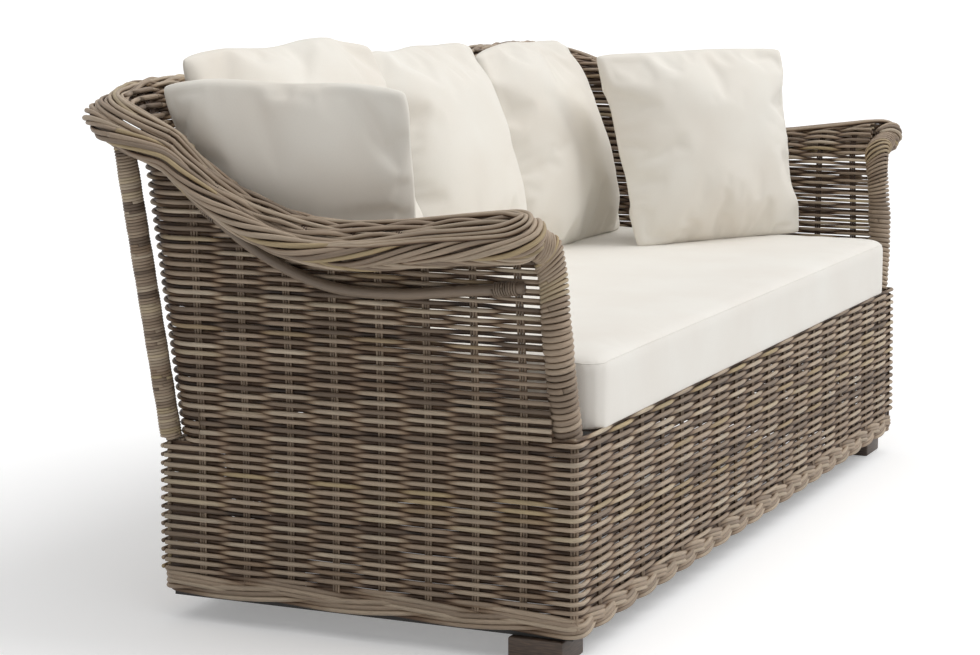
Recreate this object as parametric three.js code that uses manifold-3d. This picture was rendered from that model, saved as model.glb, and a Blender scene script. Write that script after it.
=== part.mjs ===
// Rattan garden sofa. A woven base and a woven wall that runs round both arms and the back stand on a
// frame of black rails and rattan poles. A seat cushion and five loose pillows lie on it.
// Millimetres, +Z up. The front faces -Y, and the origin is on the floor under the middle of the sofa.
import * as THREE from "three";
import { mergeVertices } from "three/addons/utils/BufferGeometryUtils.js";
import Module from "manifold-3d";

const wasm = await Module();
wasm.setup();

// Driving dimensions of the base, the arms and the back
const baseWidth = 1865;
const baseDepth = 760;
const frontTopHeight = 356;
const rearLedgeHeight = 305;
const armHeight = 688;
const backHeight = 886;
const weaveThickness = 13;
const weaveBatter = 4;
const clearance = 0.3;

// Feet, base rails and the bolts between them
const footWidth = 92;
const footDepth = 92;
const footHeight = 40;
const footSideInset = 3;
const footEndInset = 30;
const rearFootSideInset = 190;
const railWidth = 40;
const railHeight = 25;
const boltRadius = 4;
const boltHeadRadius = 8;
const boltHeadHeight = 4;
const boltDepth = 28;

// The plait round the foot of the base and the braid along the rim
const plaitBottom = 47;
const plaitHeight = 38;
const plaitProud = 6;
const plaitBevel = 6;
const braidRadius = 20;
const braidSink = 12;

// Rattan poles
const frontPostRadius = 16;
const frontPostInset = 41;
const frontPostStep = 26;
const rearPostRadius = 12.5;
const rearPostSideInset = 20;
const rearPostInset = 14;
const rearPostDrop = 54;
const rearPostFlare = 50;
const uprightRadius = 15;
const uprightInset = 55;
const seatRailRadius = 14;
const slatRadius = 11;
const slatSpacing = 250;
const slatCount = 7;
const caneRadius = 9;
const caneDrop = 33;

// The upper wall: its lean, its flare and the lip that curls over outwards
const wallSetBack = 14;
const wallCornerRadius = 55;
const flareRadius = 85;
const lipRadius = 45;
const rearLipShare = 0.68;
const frontLean = 20;
const frontReach = 25;
const frontRun = 170;
const armLean = THREE.MathUtils.degToRad(2.5);
const backLean = THREE.MathUtils.degToRad(7);
const flareAngle = THREE.MathUtils.degToRad(60);
const lipAngle = THREE.MathUtils.degToRad(145);

// Strips bound round the posts, drawn as fewer and wider turns than the real ones
const frontBindingTurns = 14;
const frontBindingThick = 5;
const rearBindingTurns = 16;
const rearBindingThick = 3;
const frontBindingGroove = 11;
const rearBindingGroove = 4;
const frontBindingSlack = 4.5;
const rearBindingSlack = 1.6;

// The seat cushion and the loose pillows
const cushionThickness = 112;
const cushionOverhang = 10;
const cushionSideRoom = 10;
const cushionRearRoom = 12;
const cushionCorner = 42;
const cushionSoftEdge = 14;
const cushionCrown = 6;
const backPillowWidth = 500;
const backPillowThickness = 190;
const leftPillowHeight = 478;
const leftPillowTopRise = 8;
const leftPillowTopReach = 60;
const middlePillowHeight = 460;
const middlePillowTopRise = 0;
const rightPillowHeight = 436;
const rightPillowTopRise = 12;
const backPillowPitch = 516;
const backPillowX = -12;
const backPillowRoom = 79.5;
const armPillowWidth = 348;
const armPillowHeight = 430;
const armPillowThickness = 136;
const armPillowTopRise = 4;
const armPillowTopReach = 96;
const armPillowRoom = 63;
const armPillowY = 104;
const cornerPillowWidth = 468;
const cornerPillowHeight = 418;
const cornerPillowThickness = 166;
const cornerPillowTopRise = -4;
const cornerPillowTopReach = 64;
const cornerPillowRoom = 249;
const cornerPillowY = -34;
const pillowSeam = 4;
const pillowDrawIn = 8;
const cornerPillowDrawIn = 16;
const pillowSag = 6;
const pillowFadeShare = 0.25;
const backPillowLean = THREE.MathUtils.degToRad(18);
const armPillowLean = THREE.MathUtils.degToRad(13);
const cornerPillowLean = THREE.MathUtils.degToRad(10);
const backPillowTurn = THREE.MathUtils.degToRad(-8);
const armPillowTurn = THREE.MathUtils.degToRad(94);
const cornerPillowTurn = THREE.MathUtils.degToRad(-30);

const poleSides = 12;
const caneSides = 8;
const bindingSteps = 8;
const cornerSteps = 6;
const armSteps = 11;
const braidTurnSteps = 4;
const postSteps = 22;
const caneSteps = 12;
const pillowCells = 10;

// Sizes that follow from the driving dimensions
const weaveX = baseWidth / 2 - plaitProud;
const weaveY = baseDepth / 2 - plaitProud;
const innerX = weaveX - weaveBatter - weaveThickness;
const innerY = weaveY - weaveBatter - weaveThickness;
const railTop = footHeight + clearance + railHeight;
const plaitTop = plaitBottom + plaitHeight;
const wallX = innerX + weaveThickness / 2;
const wallY = weaveY - weaveBatter - wallSetBack - weaveThickness / 2;
const frontBindingReach = frontPostRadius + frontBindingSlack + frontBindingThick;
const frontPostY = -baseDepth / 2 + frontPostInset;
const wallFrontY = frontPostY + frontBindingReach + clearance;
const postOffset = frontPostRadius + clearance + weaveThickness / 2;
const armRun = wallY - wallCornerRadius - wallFrontY;
const cornerRun = (wallCornerRadius * Math.PI) / 2;
const backRun = wallX - wallCornerRadius;
const seatTop = frontTopHeight + clearance + slatRadius / 2;

const rattan = new THREE.MeshStandardMaterial({ color: "#8b7d6c", roughness: 0.75, metalness: 0 });
const bareCane = new THREE.MeshStandardMaterial({ color: "#7c6b5d", roughness: 0.55, metalness: 0 });
const darkWood = new THREE.MeshStandardMaterial({ color: "#4b3b30", roughness: 0.6, metalness: 0 });
const blackPaint = new THREE.MeshStandardMaterial({ color: "#211f1e", roughness: 0.6, metalness: 0 });
const zincSteel = new THREE.MeshStandardMaterial({ color: "#9a9a98", roughness: 0.35, metalness: 1 });
const canvas = new THREE.MeshStandardMaterial({ color: "#e6e2da", roughness: 0.9, metalness: 0 });

const sofa = new THREE.Group();

function addPiece(name, geometry, material, x = 0, y = 0, z = 0) {
  const mesh = new THREE.Mesh(geometry, material);
  mesh.name = name;
  mesh.position.set(x, y, z);
  sofa.add(mesh);
  return mesh;
}

function mirrored(geometry) {
  const other = geometry.clone().applyMatrix4(new THREE.Matrix4().makeScale(-1, 1, 1));
  const index = other.index.array;
  for (let i = 0; i < index.length; i += 3) {
    const second = index[i + 1];
    index[i + 1] = index[i + 2];
    index[i + 2] = second;
  }
  return other;
}

// Adds a left piece and its mirror image on the right.
function addPair(stem, geometry, material) {
  addPiece(`${stem}_left`, geometry, material);
  addPiece(`${stem}_right`, mirrored(geometry), material);
}

function signedVolume(positions, faces) {
  const point = (i) => new THREE.Vector3(...positions.slice(3 * i, 3 * i + 3));
  let total = 0;
  for (let i = 0; i < faces.length; i += 3) {
    total += point(faces[i]).dot(point(faces[i + 1]).cross(point(faces[i + 2])));
  }
  return total / 6;
}

function closedGeometry(points, faces) {
  const positions = points.flatMap((p) => [p.x, p.y, p.z]);
  if (signedVolume(positions, faces) < 0) faces.reverse();
  return new THREE.BufferGeometry()
    .setAttribute("position", new THREE.Float32BufferAttribute(positions, 3))
    .setIndex(faces);
}

// A closed solid skinned over rings of points, each with as many points as the next. An end is capped
// across from the first point to the last, so a ring may be a long strip as well as a round.
function loft(rings) {
  const sides = rings[0].length;
  const last = (rings.length - 1) * sides;
  const faces = [];
  for (let start = 0; start < last; start += sides) {
    for (let side = 0; side < sides; side++) {
      const a = start + side;
      const b = start + ((side + 1) % sides);
      faces.push(a, b, b + sides, a, b + sides, a + sides);
    }
  }
  for (let low = 0, high = sides - 1; low + 1 < high; low++, high--) {
    faces.push(low, high, low + 1, last + low, last + low + 1, last + high);
    if (low + 1 < high - 1) {
      faces.push(low + 1, high, high - 1, last + low + 1, last + high - 1, last + high);
    }
  }
  return closedGeometry(rings.flat(), faces);
}

function toSolid(geometry) {
  const bare = geometry.clone();
  bare.deleteAttribute("normal");
  bare.deleteAttribute("uv");
  const merged = mergeVertices(bare);
  return new wasm.Manifold(
    new wasm.Mesh({
      numProp: 3,
      vertProperties: new Float32Array(merged.attributes.position.array),
      triVerts: new Uint32Array(merged.index.array),
    }),
  );
}

function toGeometry(solid) {
  const mesh = solid.getMesh();
  return new THREE.BufferGeometry()
    .setAttribute("position", new THREE.Float32BufferAttribute(mesh.vertProperties, 3))
    .setIndex(Array.from(mesh.triVerts));
}

function cut(geometry, ...tools) {
  return toGeometry(tools.reduce((left, tool) => left.subtract(toSolid(tool)), toSolid(geometry)));
}

function join(geometry, ...others) {
  return toGeometry(others.reduce((whole, other) => whole.add(toSolid(other)), toSolid(geometry)));
}

// Frames carried along a line of points without twist: point, tangent and two normals.
function framesAlong(points) {
  const frames = [];
  const start = points[1].clone().sub(points[0]).normalize();
  let normal = Math.abs(start.z) > Math.SQRT1_2 ? new THREE.Vector3(0, 1, 0) : new THREE.Vector3(0, 0, 1);
  points.forEach((point, i) => {
    const before = points[Math.max(i - 1, 0)];
    const after = points[Math.min(i + 1, points.length - 1)];
    const tangent = after.clone().sub(before).normalize();
    normal = normal.clone().addScaledVector(tangent, -normal.dot(tangent)).normalize();
    frames.push({ point, tangent, normal, across: tangent.clone().cross(normal) });
  });
  return frames;
}

function ovalRing(frame, alongNormal, across, sides) {
  return Array.from({ length: sides }, (_, k) => {
    const angle = (2 * Math.PI * (k + 0.5)) / sides;
    return frame.point
      .clone()
      .addScaledVector(frame.normal, (alongNormal / 2) * Math.cos(angle))
      .addScaledVector(frame.across, (across / 2) * Math.sin(angle));
  });
}

function pole(points, radius, sides = poleSides) {
  return loft(framesAlong(points).map((frame) => ovalRing(frame, 2 * radius, 2 * radius, sides)));
}

// A straight pole whose two ends are level.
function levelPole(foot, head, radius) {
  const level = { normal: new THREE.Vector3(0, 1, 0), across: new THREE.Vector3(1, 0, 0) };
  return loft([foot, head].map((point) => ovalRing({ ...level, point }, 2 * radius, 2 * radius, poleSides)));
}

function smoothLine(corners, count) {
  return new THREE.CatmullRomCurve3(corners, false, "centripetal").getSpacedPoints(count);
}

// The smooth value at x of rows of shares [x, value], through every row.
function smoothShare(rows, x) {
  const top = rows.length - 1;
  const clamped = THREE.MathUtils.clamp(x, rows[0][0], rows[top][0]);
  const row = THREE.MathUtils.clamp(rows.findIndex(([at]) => at >= clamped) - 1, 0, top - 1);
  const slope = (i) => {
    const before = rows[Math.max(i - 1, 0)];
    const after = rows[Math.min(i + 1, top)];
    return (after[1] - before[1]) / (after[0] - before[0]);
  };
  const width = rows[row + 1][0] - rows[row][0];
  const t = (clamped - rows[row][0]) / width;
  const rise = t * t * (3 - 2 * t);
  const leaving = slope(row) * width * t * (1 - t) * (1 - t);
  const arriving = slope(row + 1) * width * t * t * (1 - t);
  return rows[row][1] * (1 - rise) + rows[row + 1][1] * rise + leaving - arriving;
}

// Feet, bolts and base rails. The bolts go down through the rails into the feet.
const railX = innerX - clearance - railWidth / 2;
const railY = innerY - clearance - railWidth / 2;
const rearFootX = weaveX - rearFootSideInset - footWidth / 2;
const frontFootX = weaveX - footSideInset - footWidth / 2;
const footY = weaveY - footEndInset - footDepth / 2;
const boltBottom = footHeight - boltDepth;
const frontBoltY = -footY + footDepth / 4;

function cylinder(radius, height, bottom, x, y) {
  return new THREE.CylinderGeometry(radius, radius, height, poleSides)
    .rotateX(Math.PI / 2)
    .translate(x, y, bottom + height / 2);
}

const boltHole = (x, y) => cylinder(boltRadius + clearance, railTop, boltBottom - clearance, x, y);

function addFoot(stem, x, y, boltX, boltY) {
  const block = new THREE.BoxGeometry(footWidth, footDepth, footHeight).translate(-x, y, footHeight / 2);
  const bolt = join(
    cylinder(boltRadius, railTop + clearance + boltHeadHeight - boltBottom, boltBottom, -boltX, boltY),
    cylinder(boltHeadRadius, boltHeadHeight, railTop + clearance, -boltX, boltY),
  );
  addPair(`foot_${stem}`, cut(block, boltHole(-boltX, boltY)), darkWood);
  addPair(`foot_bolt_${stem}`, bolt, zincSteel);
}

addFoot("front", frontFootX, -footY, railX, frontBoltY);
addFoot("rear", rearFootX, footY, rearFootX, railY);

function rail(lengthX, lengthY, x, y) {
  return new THREE.BoxGeometry(lengthX, lengthY, railHeight).translate(x, y, railTop - railHeight / 2);
}

const longRail = 2 * (innerX - clearance);
const shortRail = 2 * (railY - railWidth / 2 - clearance);
const rearHoles = [boltHole(-rearFootX, railY), boltHole(rearFootX, railY)];
addPiece("base_rail_front", rail(longRail, railWidth, 0, -railY), blackPaint);
addPiece("base_rail_rear", cut(rail(longRail, railWidth, 0, railY), ...rearHoles), blackPaint);
addPair("base_rail", cut(rail(railWidth, shortRail, -railX, 0), boltHole(-railX, frontBoltY)), blackPaint);
addPiece("base_rail_centre", rail(railWidth, shortRail, 0, 0), blackPaint);

// Woven base panels. The top edge falls from the front to the ledge behind, and the walls lean in a little.
function baseTop(y) {
  const share = THREE.MathUtils.clamp(y / weaveY, -1, 1);
  return (frontTopHeight + rearLedgeHeight) / 2 - (share * (frontTopHeight - rearLedgeHeight)) / 2;
}

function battered(height) {
  return (weaveBatter * (height - plaitTop)) / (frontTopHeight - plaitTop);
}

// One side of the base between its mitred corners. towards is the outward direction seen from above.
function basePanel(towards) {
  const side = new THREE.Vector3(-towards.y, towards.x, 0);
  const corner = (inset, end, bottom) => {
    const reach = (size) => size - inset;
    const place = new THREE.Vector3(
      towards.x * reach(weaveX) + side.x * end * reach(weaveX),
      towards.y * reach(weaveY) + side.y * end * reach(weaveY),
      plaitTop + clearance,
    );
    if (!bottom) {
      place.z = baseTop(place.y);
      const lean = battered(place.z);
      place.x -= Math.sign(place.x) * lean;
      place.y -= Math.sign(place.y) * lean;
    }
    return place.addScaledVector(side, (-end * clearance) / 2);
  };
  const ring = (bottom) => [
    corner(0, -1, bottom),
    corner(0, 1, bottom),
    corner(weaveThickness, 1, bottom),
    corner(weaveThickness, -1, bottom),
  ];
  return loft([ring(true), ring(false)]);
}

const forwards = new THREE.Vector3(0, -1, 0);
const backwards = new THREE.Vector3(0, 1, 0);
const leftwards = new THREE.Vector3(-1, 0, 0);

// The rear panel carries a ledge inside its top edge, and the back wall stands on that.
const ledgeDepth = wallSetBack + weaveThickness;
const ledge = new THREE.BoxGeometry(2 * (innerX - clearance), ledgeDepth, weaveThickness).translate(
  0,
  weaveY - weaveBatter - weaveThickness / 2 - ledgeDepth / 2,
  baseTop(wallY) - weaveThickness / 2,
);
addPiece("base_weave_front", basePanel(forwards), rattan);
addPiece("base_weave_rear", join(basePanel(backwards), ledge), rattan);
addPair("base_weave", basePanel(leftwards), rattan);

// The plait, in four lengths that meet in mitres
function plaitLength(towards) {
  const side = new THREE.Vector3(-towards.y, towards.x, 0);
  const outerX = baseWidth / 2;
  const outerY = baseDepth / 2;
  const inner = plaitProud + weaveThickness + weaveBatter;
  const section = [
    [plaitBevel, plaitBottom],
    [0, plaitBottom + plaitBevel],
    [0, plaitTop - plaitBevel],
    [plaitBevel, plaitTop],
    [inner, plaitTop],
    [inner, plaitBottom],
  ];
  const ring = (end) =>
    section.map(([inset, height]) =>
      new THREE.Vector3(
        towards.x * (outerX - inset) + side.x * end * (outerX - inset),
        towards.y * (outerY - inset) + side.y * end * (outerY - inset),
        height,
      ).addScaledVector(side, (-end * clearance) / 2),
    );
  return loft([ring(-1), ring(1)]);
}

addPiece("base_plait_front", plaitLength(forwards), rattan);
addPiece("base_plait_rear", plaitLength(backwards), rattan);
addPair("base_plait", plaitLength(leftwards), rattan);

// The woven wall. Seen from above its line starts at the left arm's front end and ends in the middle of
// the back. along is the distance on that line.
function wallLine(along) {
  if (along <= armRun) return { x: -wallX, y: wallFrontY + along, outX: -1, outY: 0 };
  const turn = Math.min((along - armRun) / wallCornerRadius, Math.PI / 2);
  const past = Math.max(along - armRun - cornerRun, 0);
  return {
    x: -wallX + wallCornerRadius * (1 - Math.cos(turn)) + past,
    y: wallY - wallCornerRadius * (1 - Math.sin(turn)),
    outX: -Math.cos(turn),
    outY: Math.sin(turn),
  };
}

// How far the rim has risen from the arm's height to the back's, by the share of the arm's run.
const crestRiseShares = [
  [0, 0.12],
  [0.06, 0.11],
  [0.23, 0.06],
  [0.47, 0],
  [0.65, 0.056],
  [0.83, 0.25],
  [0.95, 0.487],
  [1.07, 0.86],
  [1.15, 0.97],
  [1.22, 1],
];

function crestHeight(along) {
  return armHeight + (backHeight - armHeight) * smoothShare(crestRiseShares, along / armRun);
}

// The flare and the lip are at their widest on the arms and draw in towards the back.
function curlShare(along) {
  const share = THREE.MathUtils.smoothstep(along, armRun / 2, armRun);
  return 1 + (rearLipShare - 1) * share;
}

// A stretch of the wall's section: straight, then a wide flare, then the lip. step counts from 0 to 1 in
// each stretch. Returns the distance out, the height and the lean of the section there.
function section(along, stretch, step) {
  const line = wallLine(along);
  const lean = armLean + (backLean - armLean) * line.outY;
  const flare = flareRadius * curlShare(along);
  const lip = lipRadius * curlShare(along);
  const foot = baseTop(line.y) + clearance;
  const flareRise = flare * (Math.sin(flareAngle) - Math.sin(lean));
  const flareOut = flare * (Math.cos(lean) - Math.cos(flareAngle));
  const lipRise = lip * (1 - Math.sin(flareAngle));
  const straightRise = crestHeight(along) - weaveThickness / 2 - flareRise - lipRise - foot;
  const straightOut = straightRise * Math.tan(lean);
  if (stretch === "straight") {
    return { out: straightOut * step, up: foot + straightRise * step, lean: step > 0 ? lean : 0 };
  }
  if (stretch === "flare") {
    const angle = lean + (flareAngle - lean) * step;
    return {
      out: straightOut + flare * (Math.cos(lean) - Math.cos(angle)),
      up: foot + straightRise + flare * (Math.sin(angle) - Math.sin(lean)),
      lean: angle,
    };
  }
  const angle = flareAngle + (lipAngle - flareAngle) * step;
  return {
    out: straightOut + flareOut + lip * (Math.cos(flareAngle) - Math.cos(angle)),
    up: foot + straightRise + flareRise + lip * (Math.sin(angle) - Math.sin(flareAngle)),
    lean: angle,
  };
}

// A point of the wall, offset outwards from the middle of its thickness.
function wallPoint(along, stretch, step, offset) {
  const line = wallLine(along);
  const { out, up, lean } = section(along, stretch, step);
  const reach = out + offset * Math.cos(lean);
  const height = up - offset * Math.sin(lean);
  const front = Math.max(0, 1 - along / frontRun) ** 2;
  const rise = Math.max(0, up - frontTopHeight) / (armHeight - frontTopHeight);
  const ahead = stretch === "lip" ? frontReach * Math.sin((step * Math.PI) / 2) : 0;
  const back = front * (frontLean * rise * rise - ahead);
  return new THREE.Vector3(line.x + line.outX * reach, line.y + line.outY * reach + back, height);
}

const straightShares = [0, 0.5, 1];
const flareShares = [0.34, 0.67, 1];
const lipShares = [0.2, 0.4, 0.6, 0.8, 1];
const sectionRows = [
  ...straightShares.map((step) => ["straight", step]),
  ...flareShares.map((step) => ["flare", step]),
  ...lipShares.map((step) => ["lip", step]),
];

function wallRing(along) {
  const row = (offset) => sectionRows.map(([stretch, step]) => wallPoint(along, stretch, step, offset));
  return [...row(weaveThickness / 2), ...row(-weaveThickness / 2).reverse()];
}

function between(from, to, steps) {
  return Array.from({ length: steps + 1 }, (_, i) => from + ((to - from) * i) / steps);
}

const backStart = armRun + cornerRun + clearance;
const backEnd = armRun + cornerRun + backRun;
const cornerAlongs = between(armRun, armRun + cornerRun, cornerSteps);
const armAlongs = [...between(0, armRun, armSteps), ...cornerAlongs.slice(1)];
const backAlongs = between(backStart, backEnd, cornerSteps);

function mirrorPoint(point) {
  return new THREE.Vector3(-point.x, point.y, point.z);
}

// Rows of points of the left half of the back, and then of its right half
function wholeBack(ringAt) {
  const left = backAlongs.map(ringAt);
  const right = left.slice(0, -1).reverse().map((ring) => ring.map(mirrorPoint));
  return [...left, ...right];
}

addPair("arm_weave", loft(armAlongs.map(wallRing)), rattan);
addPiece("back_weave", loft(wholeBack(wallRing)), rattan);

// The braid closes the lip's outer edge. On the arms it first comes round the lip's front end.
const braidReach = braidRadius + clearance;

function braidRing(point, travel, away) {
  const frame = { point, normal: away, across: away.clone().cross(travel) };
  return ovalRing(frame, 2 * braidRadius, 2 * braidRadius, caneSides);
}

// The direction in which the wall's section leaves a place on the lip
function onward(along, step) {
  const line = wallLine(along);
  const { lean } = section(along, "lip", step);
  return new THREE.Vector3(line.outX * Math.sin(lean), line.outY * Math.sin(lean), Math.cos(lean));
}

function edgeRing(along) {
  const line = wallLine(along);
  const away = onward(along, 1);
  const point = wallPoint(along, "lip", 1, 0).addScaledVector(away, braidReach);
  return braidRing(point, new THREE.Vector3(line.outY, -line.outX, 0), away);
}

function frontRing(step) {
  const point = wallPoint(0, "lip", step, braidSink * (1 - step)).addScaledVector(forwards, braidReach);
  return braidRing(point, onward(0, step), forwards);
}

const turning = onward(0, 1).add(backwards).normalize();
const outwards = onward(0, 1).add(forwards).normalize();
const turningPoint = wallPoint(0, "lip", 1, 0).addScaledVector(outwards, braidReach);
const armBraid = [
  ...between(0, 1, braidTurnSteps).map(frontRing),
  braidRing(turningPoint, turning, outwards),
  ...armAlongs.map(edgeRing),
];
addPair("rim_braid", loft(armBraid), rattan);
addPiece("rim_braid_back", loft(wholeBack(edgeRing)), rattan);

// Front posts stand on the base rail inside the weave, step out over its top edge, and curl outwards
// under the end of the lip. Each row is a stretch of the wall's section, a step in it and how far inside
// the wall the post lies, as a share of its place inside the base.
const frontPostShares = [
  ["straight", 0, 1],
  ["straight", 0.3, 0.35],
  ["straight", 0.65, 0],
  ["flare", 0, 0],
  ["flare", 0.3, -0.2],
  ["flare", 0.6, -0.8],
];
const frontPostCurve = new THREE.CatmullRomCurve3(
  frontPostShares.map(([stretch, step, inside]) => {
    const point = wallPoint(0, stretch, step, -inside * frontPostStep);
    point.y -= frontBindingReach + clearance;
    return point;
  }),
  false,
  "centripetal",
);
const frontPostFoot = frontPostCurve.getPoint(0).setZ(railTop + clearance);
const frontPostPoints = [frontPostFoot, ...frontPostCurve.getSpacedPoints(postSteps)];
addPair("front_post", pole(frontPostPoints, frontPostRadius), bareCane);

// A flat strip wound round a pole: a flat-sided helix along a stretch of the pole's curve. Prints how far
// neighbouring turns stay apart.
function binding(name, curve, from, to, inside, thick, groove, turns) {
  const steps = turns * bindingSteps;
  const pitch = (curve.getLength() * (to - from)) / turns;
  const halfWidth = (pitch - groove) / 2;
  const frames = framesAlong(between(from, to, steps).map((share) => curve.getPointAt(share)));
  const rings = frames.map(({ point, tangent, normal, across }, i) => {
    const angle = (2 * Math.PI * i) / bindingSteps;
    const outwards = normal.clone().multiplyScalar(Math.cos(angle)).addScaledVector(across, Math.sin(angle));
    const corner = (reach, along) =>
      point.clone().addScaledVector(outwards, reach).addScaledVector(tangent, along);
    return [
      corner(inside, -halfWidth),
      corner(inside + thick, -halfWidth),
      corner(inside + thick, halfWidth),
      corner(inside, halfWidth),
    ];
  });
  const apart = rings.slice(bindingSteps).flatMap((ring, i) => [
    ring[0].distanceTo(rings[i][3]),
    ring[1].distanceTo(rings[i][2]),
  ]);
  console.log(`${name}: least gap between turns ${Math.min(...apart).toFixed(2)} mm`);
  return loft(rings);
}

const frontBoundShares = [0.06, 0.985];
addPair(
  "front_post_binding",
  binding(
    "front_post_binding",
    frontPostCurve,
    ...frontBoundShares,
    frontPostRadius + frontBindingSlack,
    frontBindingThick,
    frontBindingGroove,
    frontBindingTurns,
  ),
  rattan,
);

// Rear posts stand on the base's top edge outside the wall's corner and lean out to the rim.
const rearPostFoot = new THREE.Vector3(
  -weaveX + rearPostSideInset,
  weaveY - rearPostInset,
  baseTop(weaveY - rearPostInset - rearPostRadius) + clearance,
);
const rearPostHead = new THREE.Vector3(
  rearPostFoot.x - rearPostFlare,
  rearPostFoot.y + rearPostFlare,
  crestHeight(armRun + cornerRun / 2) - rearPostDrop,
);
const rearBoundShares = [0.03, 0.97];
addPair("rear_post", levelPole(rearPostFoot, rearPostHead, rearPostRadius), bareCane);
addPair(
  "rear_post_binding",
  binding(
    "rear_post_binding",
    new THREE.LineCurve3(rearPostFoot, rearPostHead),
    ...rearBoundShares,
    rearPostRadius + rearBindingSlack,
    rearBindingThick,
    rearBindingGroove,
    rearBindingTurns,
  ),
  rattan,
);

// A bare cane runs under each arm's lip from the front post to the rear.
const caneShares = [0.03, 0.2, 0.4, 0.6, 0.8, 0.97];
const caneOffset = weaveThickness / 2 + caneRadius * Math.cos(Math.PI / caneSides) + clearance;
const caneLine = caneShares.map((share) => {
  const along = share * armRun;
  const rise = section(along, "straight", 1).up - section(along, "straight", 0).up;
  return wallPoint(along, "straight", 1 - caneDrop / rise, caneOffset);
});
addPair("arm_cane", pole(smoothLine(caneLine, caneSteps), caneRadius, caneSides), bareCane);

// Seat frame: two rails across, on the front posts and on two uprights, with slats from front to rear.
const flatShare = Math.cos(Math.PI / poleSides);
const seatRailZ = seatTop - slatRadius - (slatRadius + seatRailRadius) * flatShare - clearance;
const rearSeatRailY = innerY - uprightInset + uprightRadius;
const uprightX = innerX - uprightInset;
const uprightHeight = seatRailZ - seatRailRadius * flatShare - clearance - railTop - clearance;
const frontSeatRailEnd = Math.abs(frontPostFoot.x) - frontPostRadius - clearance;
const rearSeatRailEnd = uprightX + uprightRadius;

function crossPole(end, y, z, radius) {
  return pole([new THREE.Vector3(-end, y, z), new THREE.Vector3(end, y, z)], radius);
}

const upright = cylinder(uprightRadius, uprightHeight, railTop + clearance, -uprightX, rearSeatRailY);
addPair("seat_upright", upright, bareCane);
addPiece("seat_rail_front", crossPole(frontSeatRailEnd, frontPostY, seatRailZ, seatRailRadius), bareCane);
addPiece("seat_rail_rear", crossPole(rearSeatRailEnd, rearSeatRailY, seatRailZ, seatRailRadius), bareCane);
for (let i = 0; i < slatCount; i++) {
  const x = (i - (slatCount - 1) / 2) * slatSpacing;
  const z = seatTop - slatRadius;
  const ends = [new THREE.Vector3(x, frontPostY, z), new THREE.Vector3(x, rearSeatRailY, z)];
  addPiece(`seat_slat_${i + 1}`, pole(ends, slatRadius), bareCane);
}

// The seat cushion: a box cushion with soft edges, rounded corners and a low crown
const cushionBottom = seatTop + clearance;
const cushionTop = cushionBottom + cushionThickness + cushionCrown;
const cushionHalfWidth = Math.abs(frontPostFoot.x) - frontBindingReach - cushionSideRoom;
const cushionFront = -weaveY - cushionOverhang;
const cushionRear = wallY - weaveThickness / 2 - cushionRearRoom;
const cushionHalfDepth = (cushionRear - cushionFront) / 2;
const cushionMiddleY = (cushionRear + cushionFront) / 2;

function cushionRing(inset, z) {
  const radius = Math.max(cushionCorner - inset / 2, cushionSoftEdge);
  const corners = [[1, 1], [-1, 1], [-1, -1], [1, -1]];
  return corners.flatMap(([sx, sy], quarter) =>
    between(0, 1, cornerSteps).map((share) => {
      const angle = ((quarter + share) * Math.PI) / 2;
      return new THREE.Vector3(
        sx * (cushionHalfWidth - inset - radius) + radius * Math.cos(angle),
        cushionMiddleY + sy * (cushionHalfDepth - inset - radius) + radius * Math.sin(angle),
        z,
      );
    }),
  );
}

// Each row is how far in the ring lies, as a share of the soft edge, and its height as a share of the
// cushion's thickness.
const cushionEdgeShares = [
  [1.6, 0],
  [0.5, 0.03],
  [0.1, 0.1],
  [0.4, 0.14],
  [0, 0.5],
  [0.4, 0.87],
  [0.1, 0.91],
  [0.6, 0.98],
  [1.6, 1],
];
const crownShares = [
  [2, 0.6],
  [3.5, 1],
];
const cushionRings = [
  ...cushionEdgeShares.map(([inset, height]) =>
    cushionRing(inset * cushionSoftEdge, cushionBottom + height * cushionThickness)),
  ...crownShares.map(([inset, height]) =>
    cushionRing(inset * cushionSoftEdge, cushionTop - (1 - height) * cushionCrown)),
];
addPiece("seat_cushion", loft(cushionRings), canvas);

// A loose pillow: two crowned faces, sides a little drawn in between the corners, and a seam all round. It
// is made standing on its lower edge, facing -Y, leaned back and then turned. The middle of its top edge may
// rise over the corners, and an upper corner may reach further out than the one below it.
function pillow(shape) {
  const { width, height, thickness, drawIn = pillowDrawIn, topRise, leftReach = 0, rightReach = 0 } = shape;
  const cells = between(-1, 1, pillowCells);
  const points = [];
  for (const face of [-1, 1]) {
    for (const v of cells) {
      for (const u of cells) {
        const fade = 1 - pillowFadeShare * (u * u + v * v);
        const crown = Math.sqrt(Math.max(0, (1 - u ** 4) * (1 - v ** 4))) * fade;
        const reach = ((1 + v) * ((1 + u) * rightReach - (1 - u) * leftReach)) / 4;
        const x = (u * width) / 2 - u * drawIn * (1 - v * v) + reach;
        const rise = v < 0 ? -pillowSag : topRise;
        const z = (v * height) / 2 + v * rise * (1 - u * u);
        points.push(new THREE.Vector3(x, (face * (pillowSeam + crown * (thickness - pillowSeam))) / 2, z));
      }
    }
  }
  const row = pillowCells + 1;
  const faces = [];
  const quad = (a, b, c, d) => faces.push(a, b, c, a, c, d);
  for (let j = 0; j < pillowCells; j++) {
    for (let i = 0; i < pillowCells; i++) {
      const front = j * row + i;
      const back = front + row * row;
      quad(front, front + 1, front + row + 1, front + row);
      quad(back, back + row, back + row + 1, back + 1);
    }
  }
  for (let i = 0; i < pillowCells; i++) {
    const rim = [
      [i, i + 1],
      [(i + 1) * row - 1, (i + 2) * row - 1],
      [row * row - 1 - i, row * row - 2 - i],
      [row * (pillowCells - i), row * (pillowCells - i - 1)],
    ];
    for (const [from, to] of rim) quad(to, from, from + row * row, to + row * row);
  }
  return closedGeometry(points, faces);
}

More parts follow.
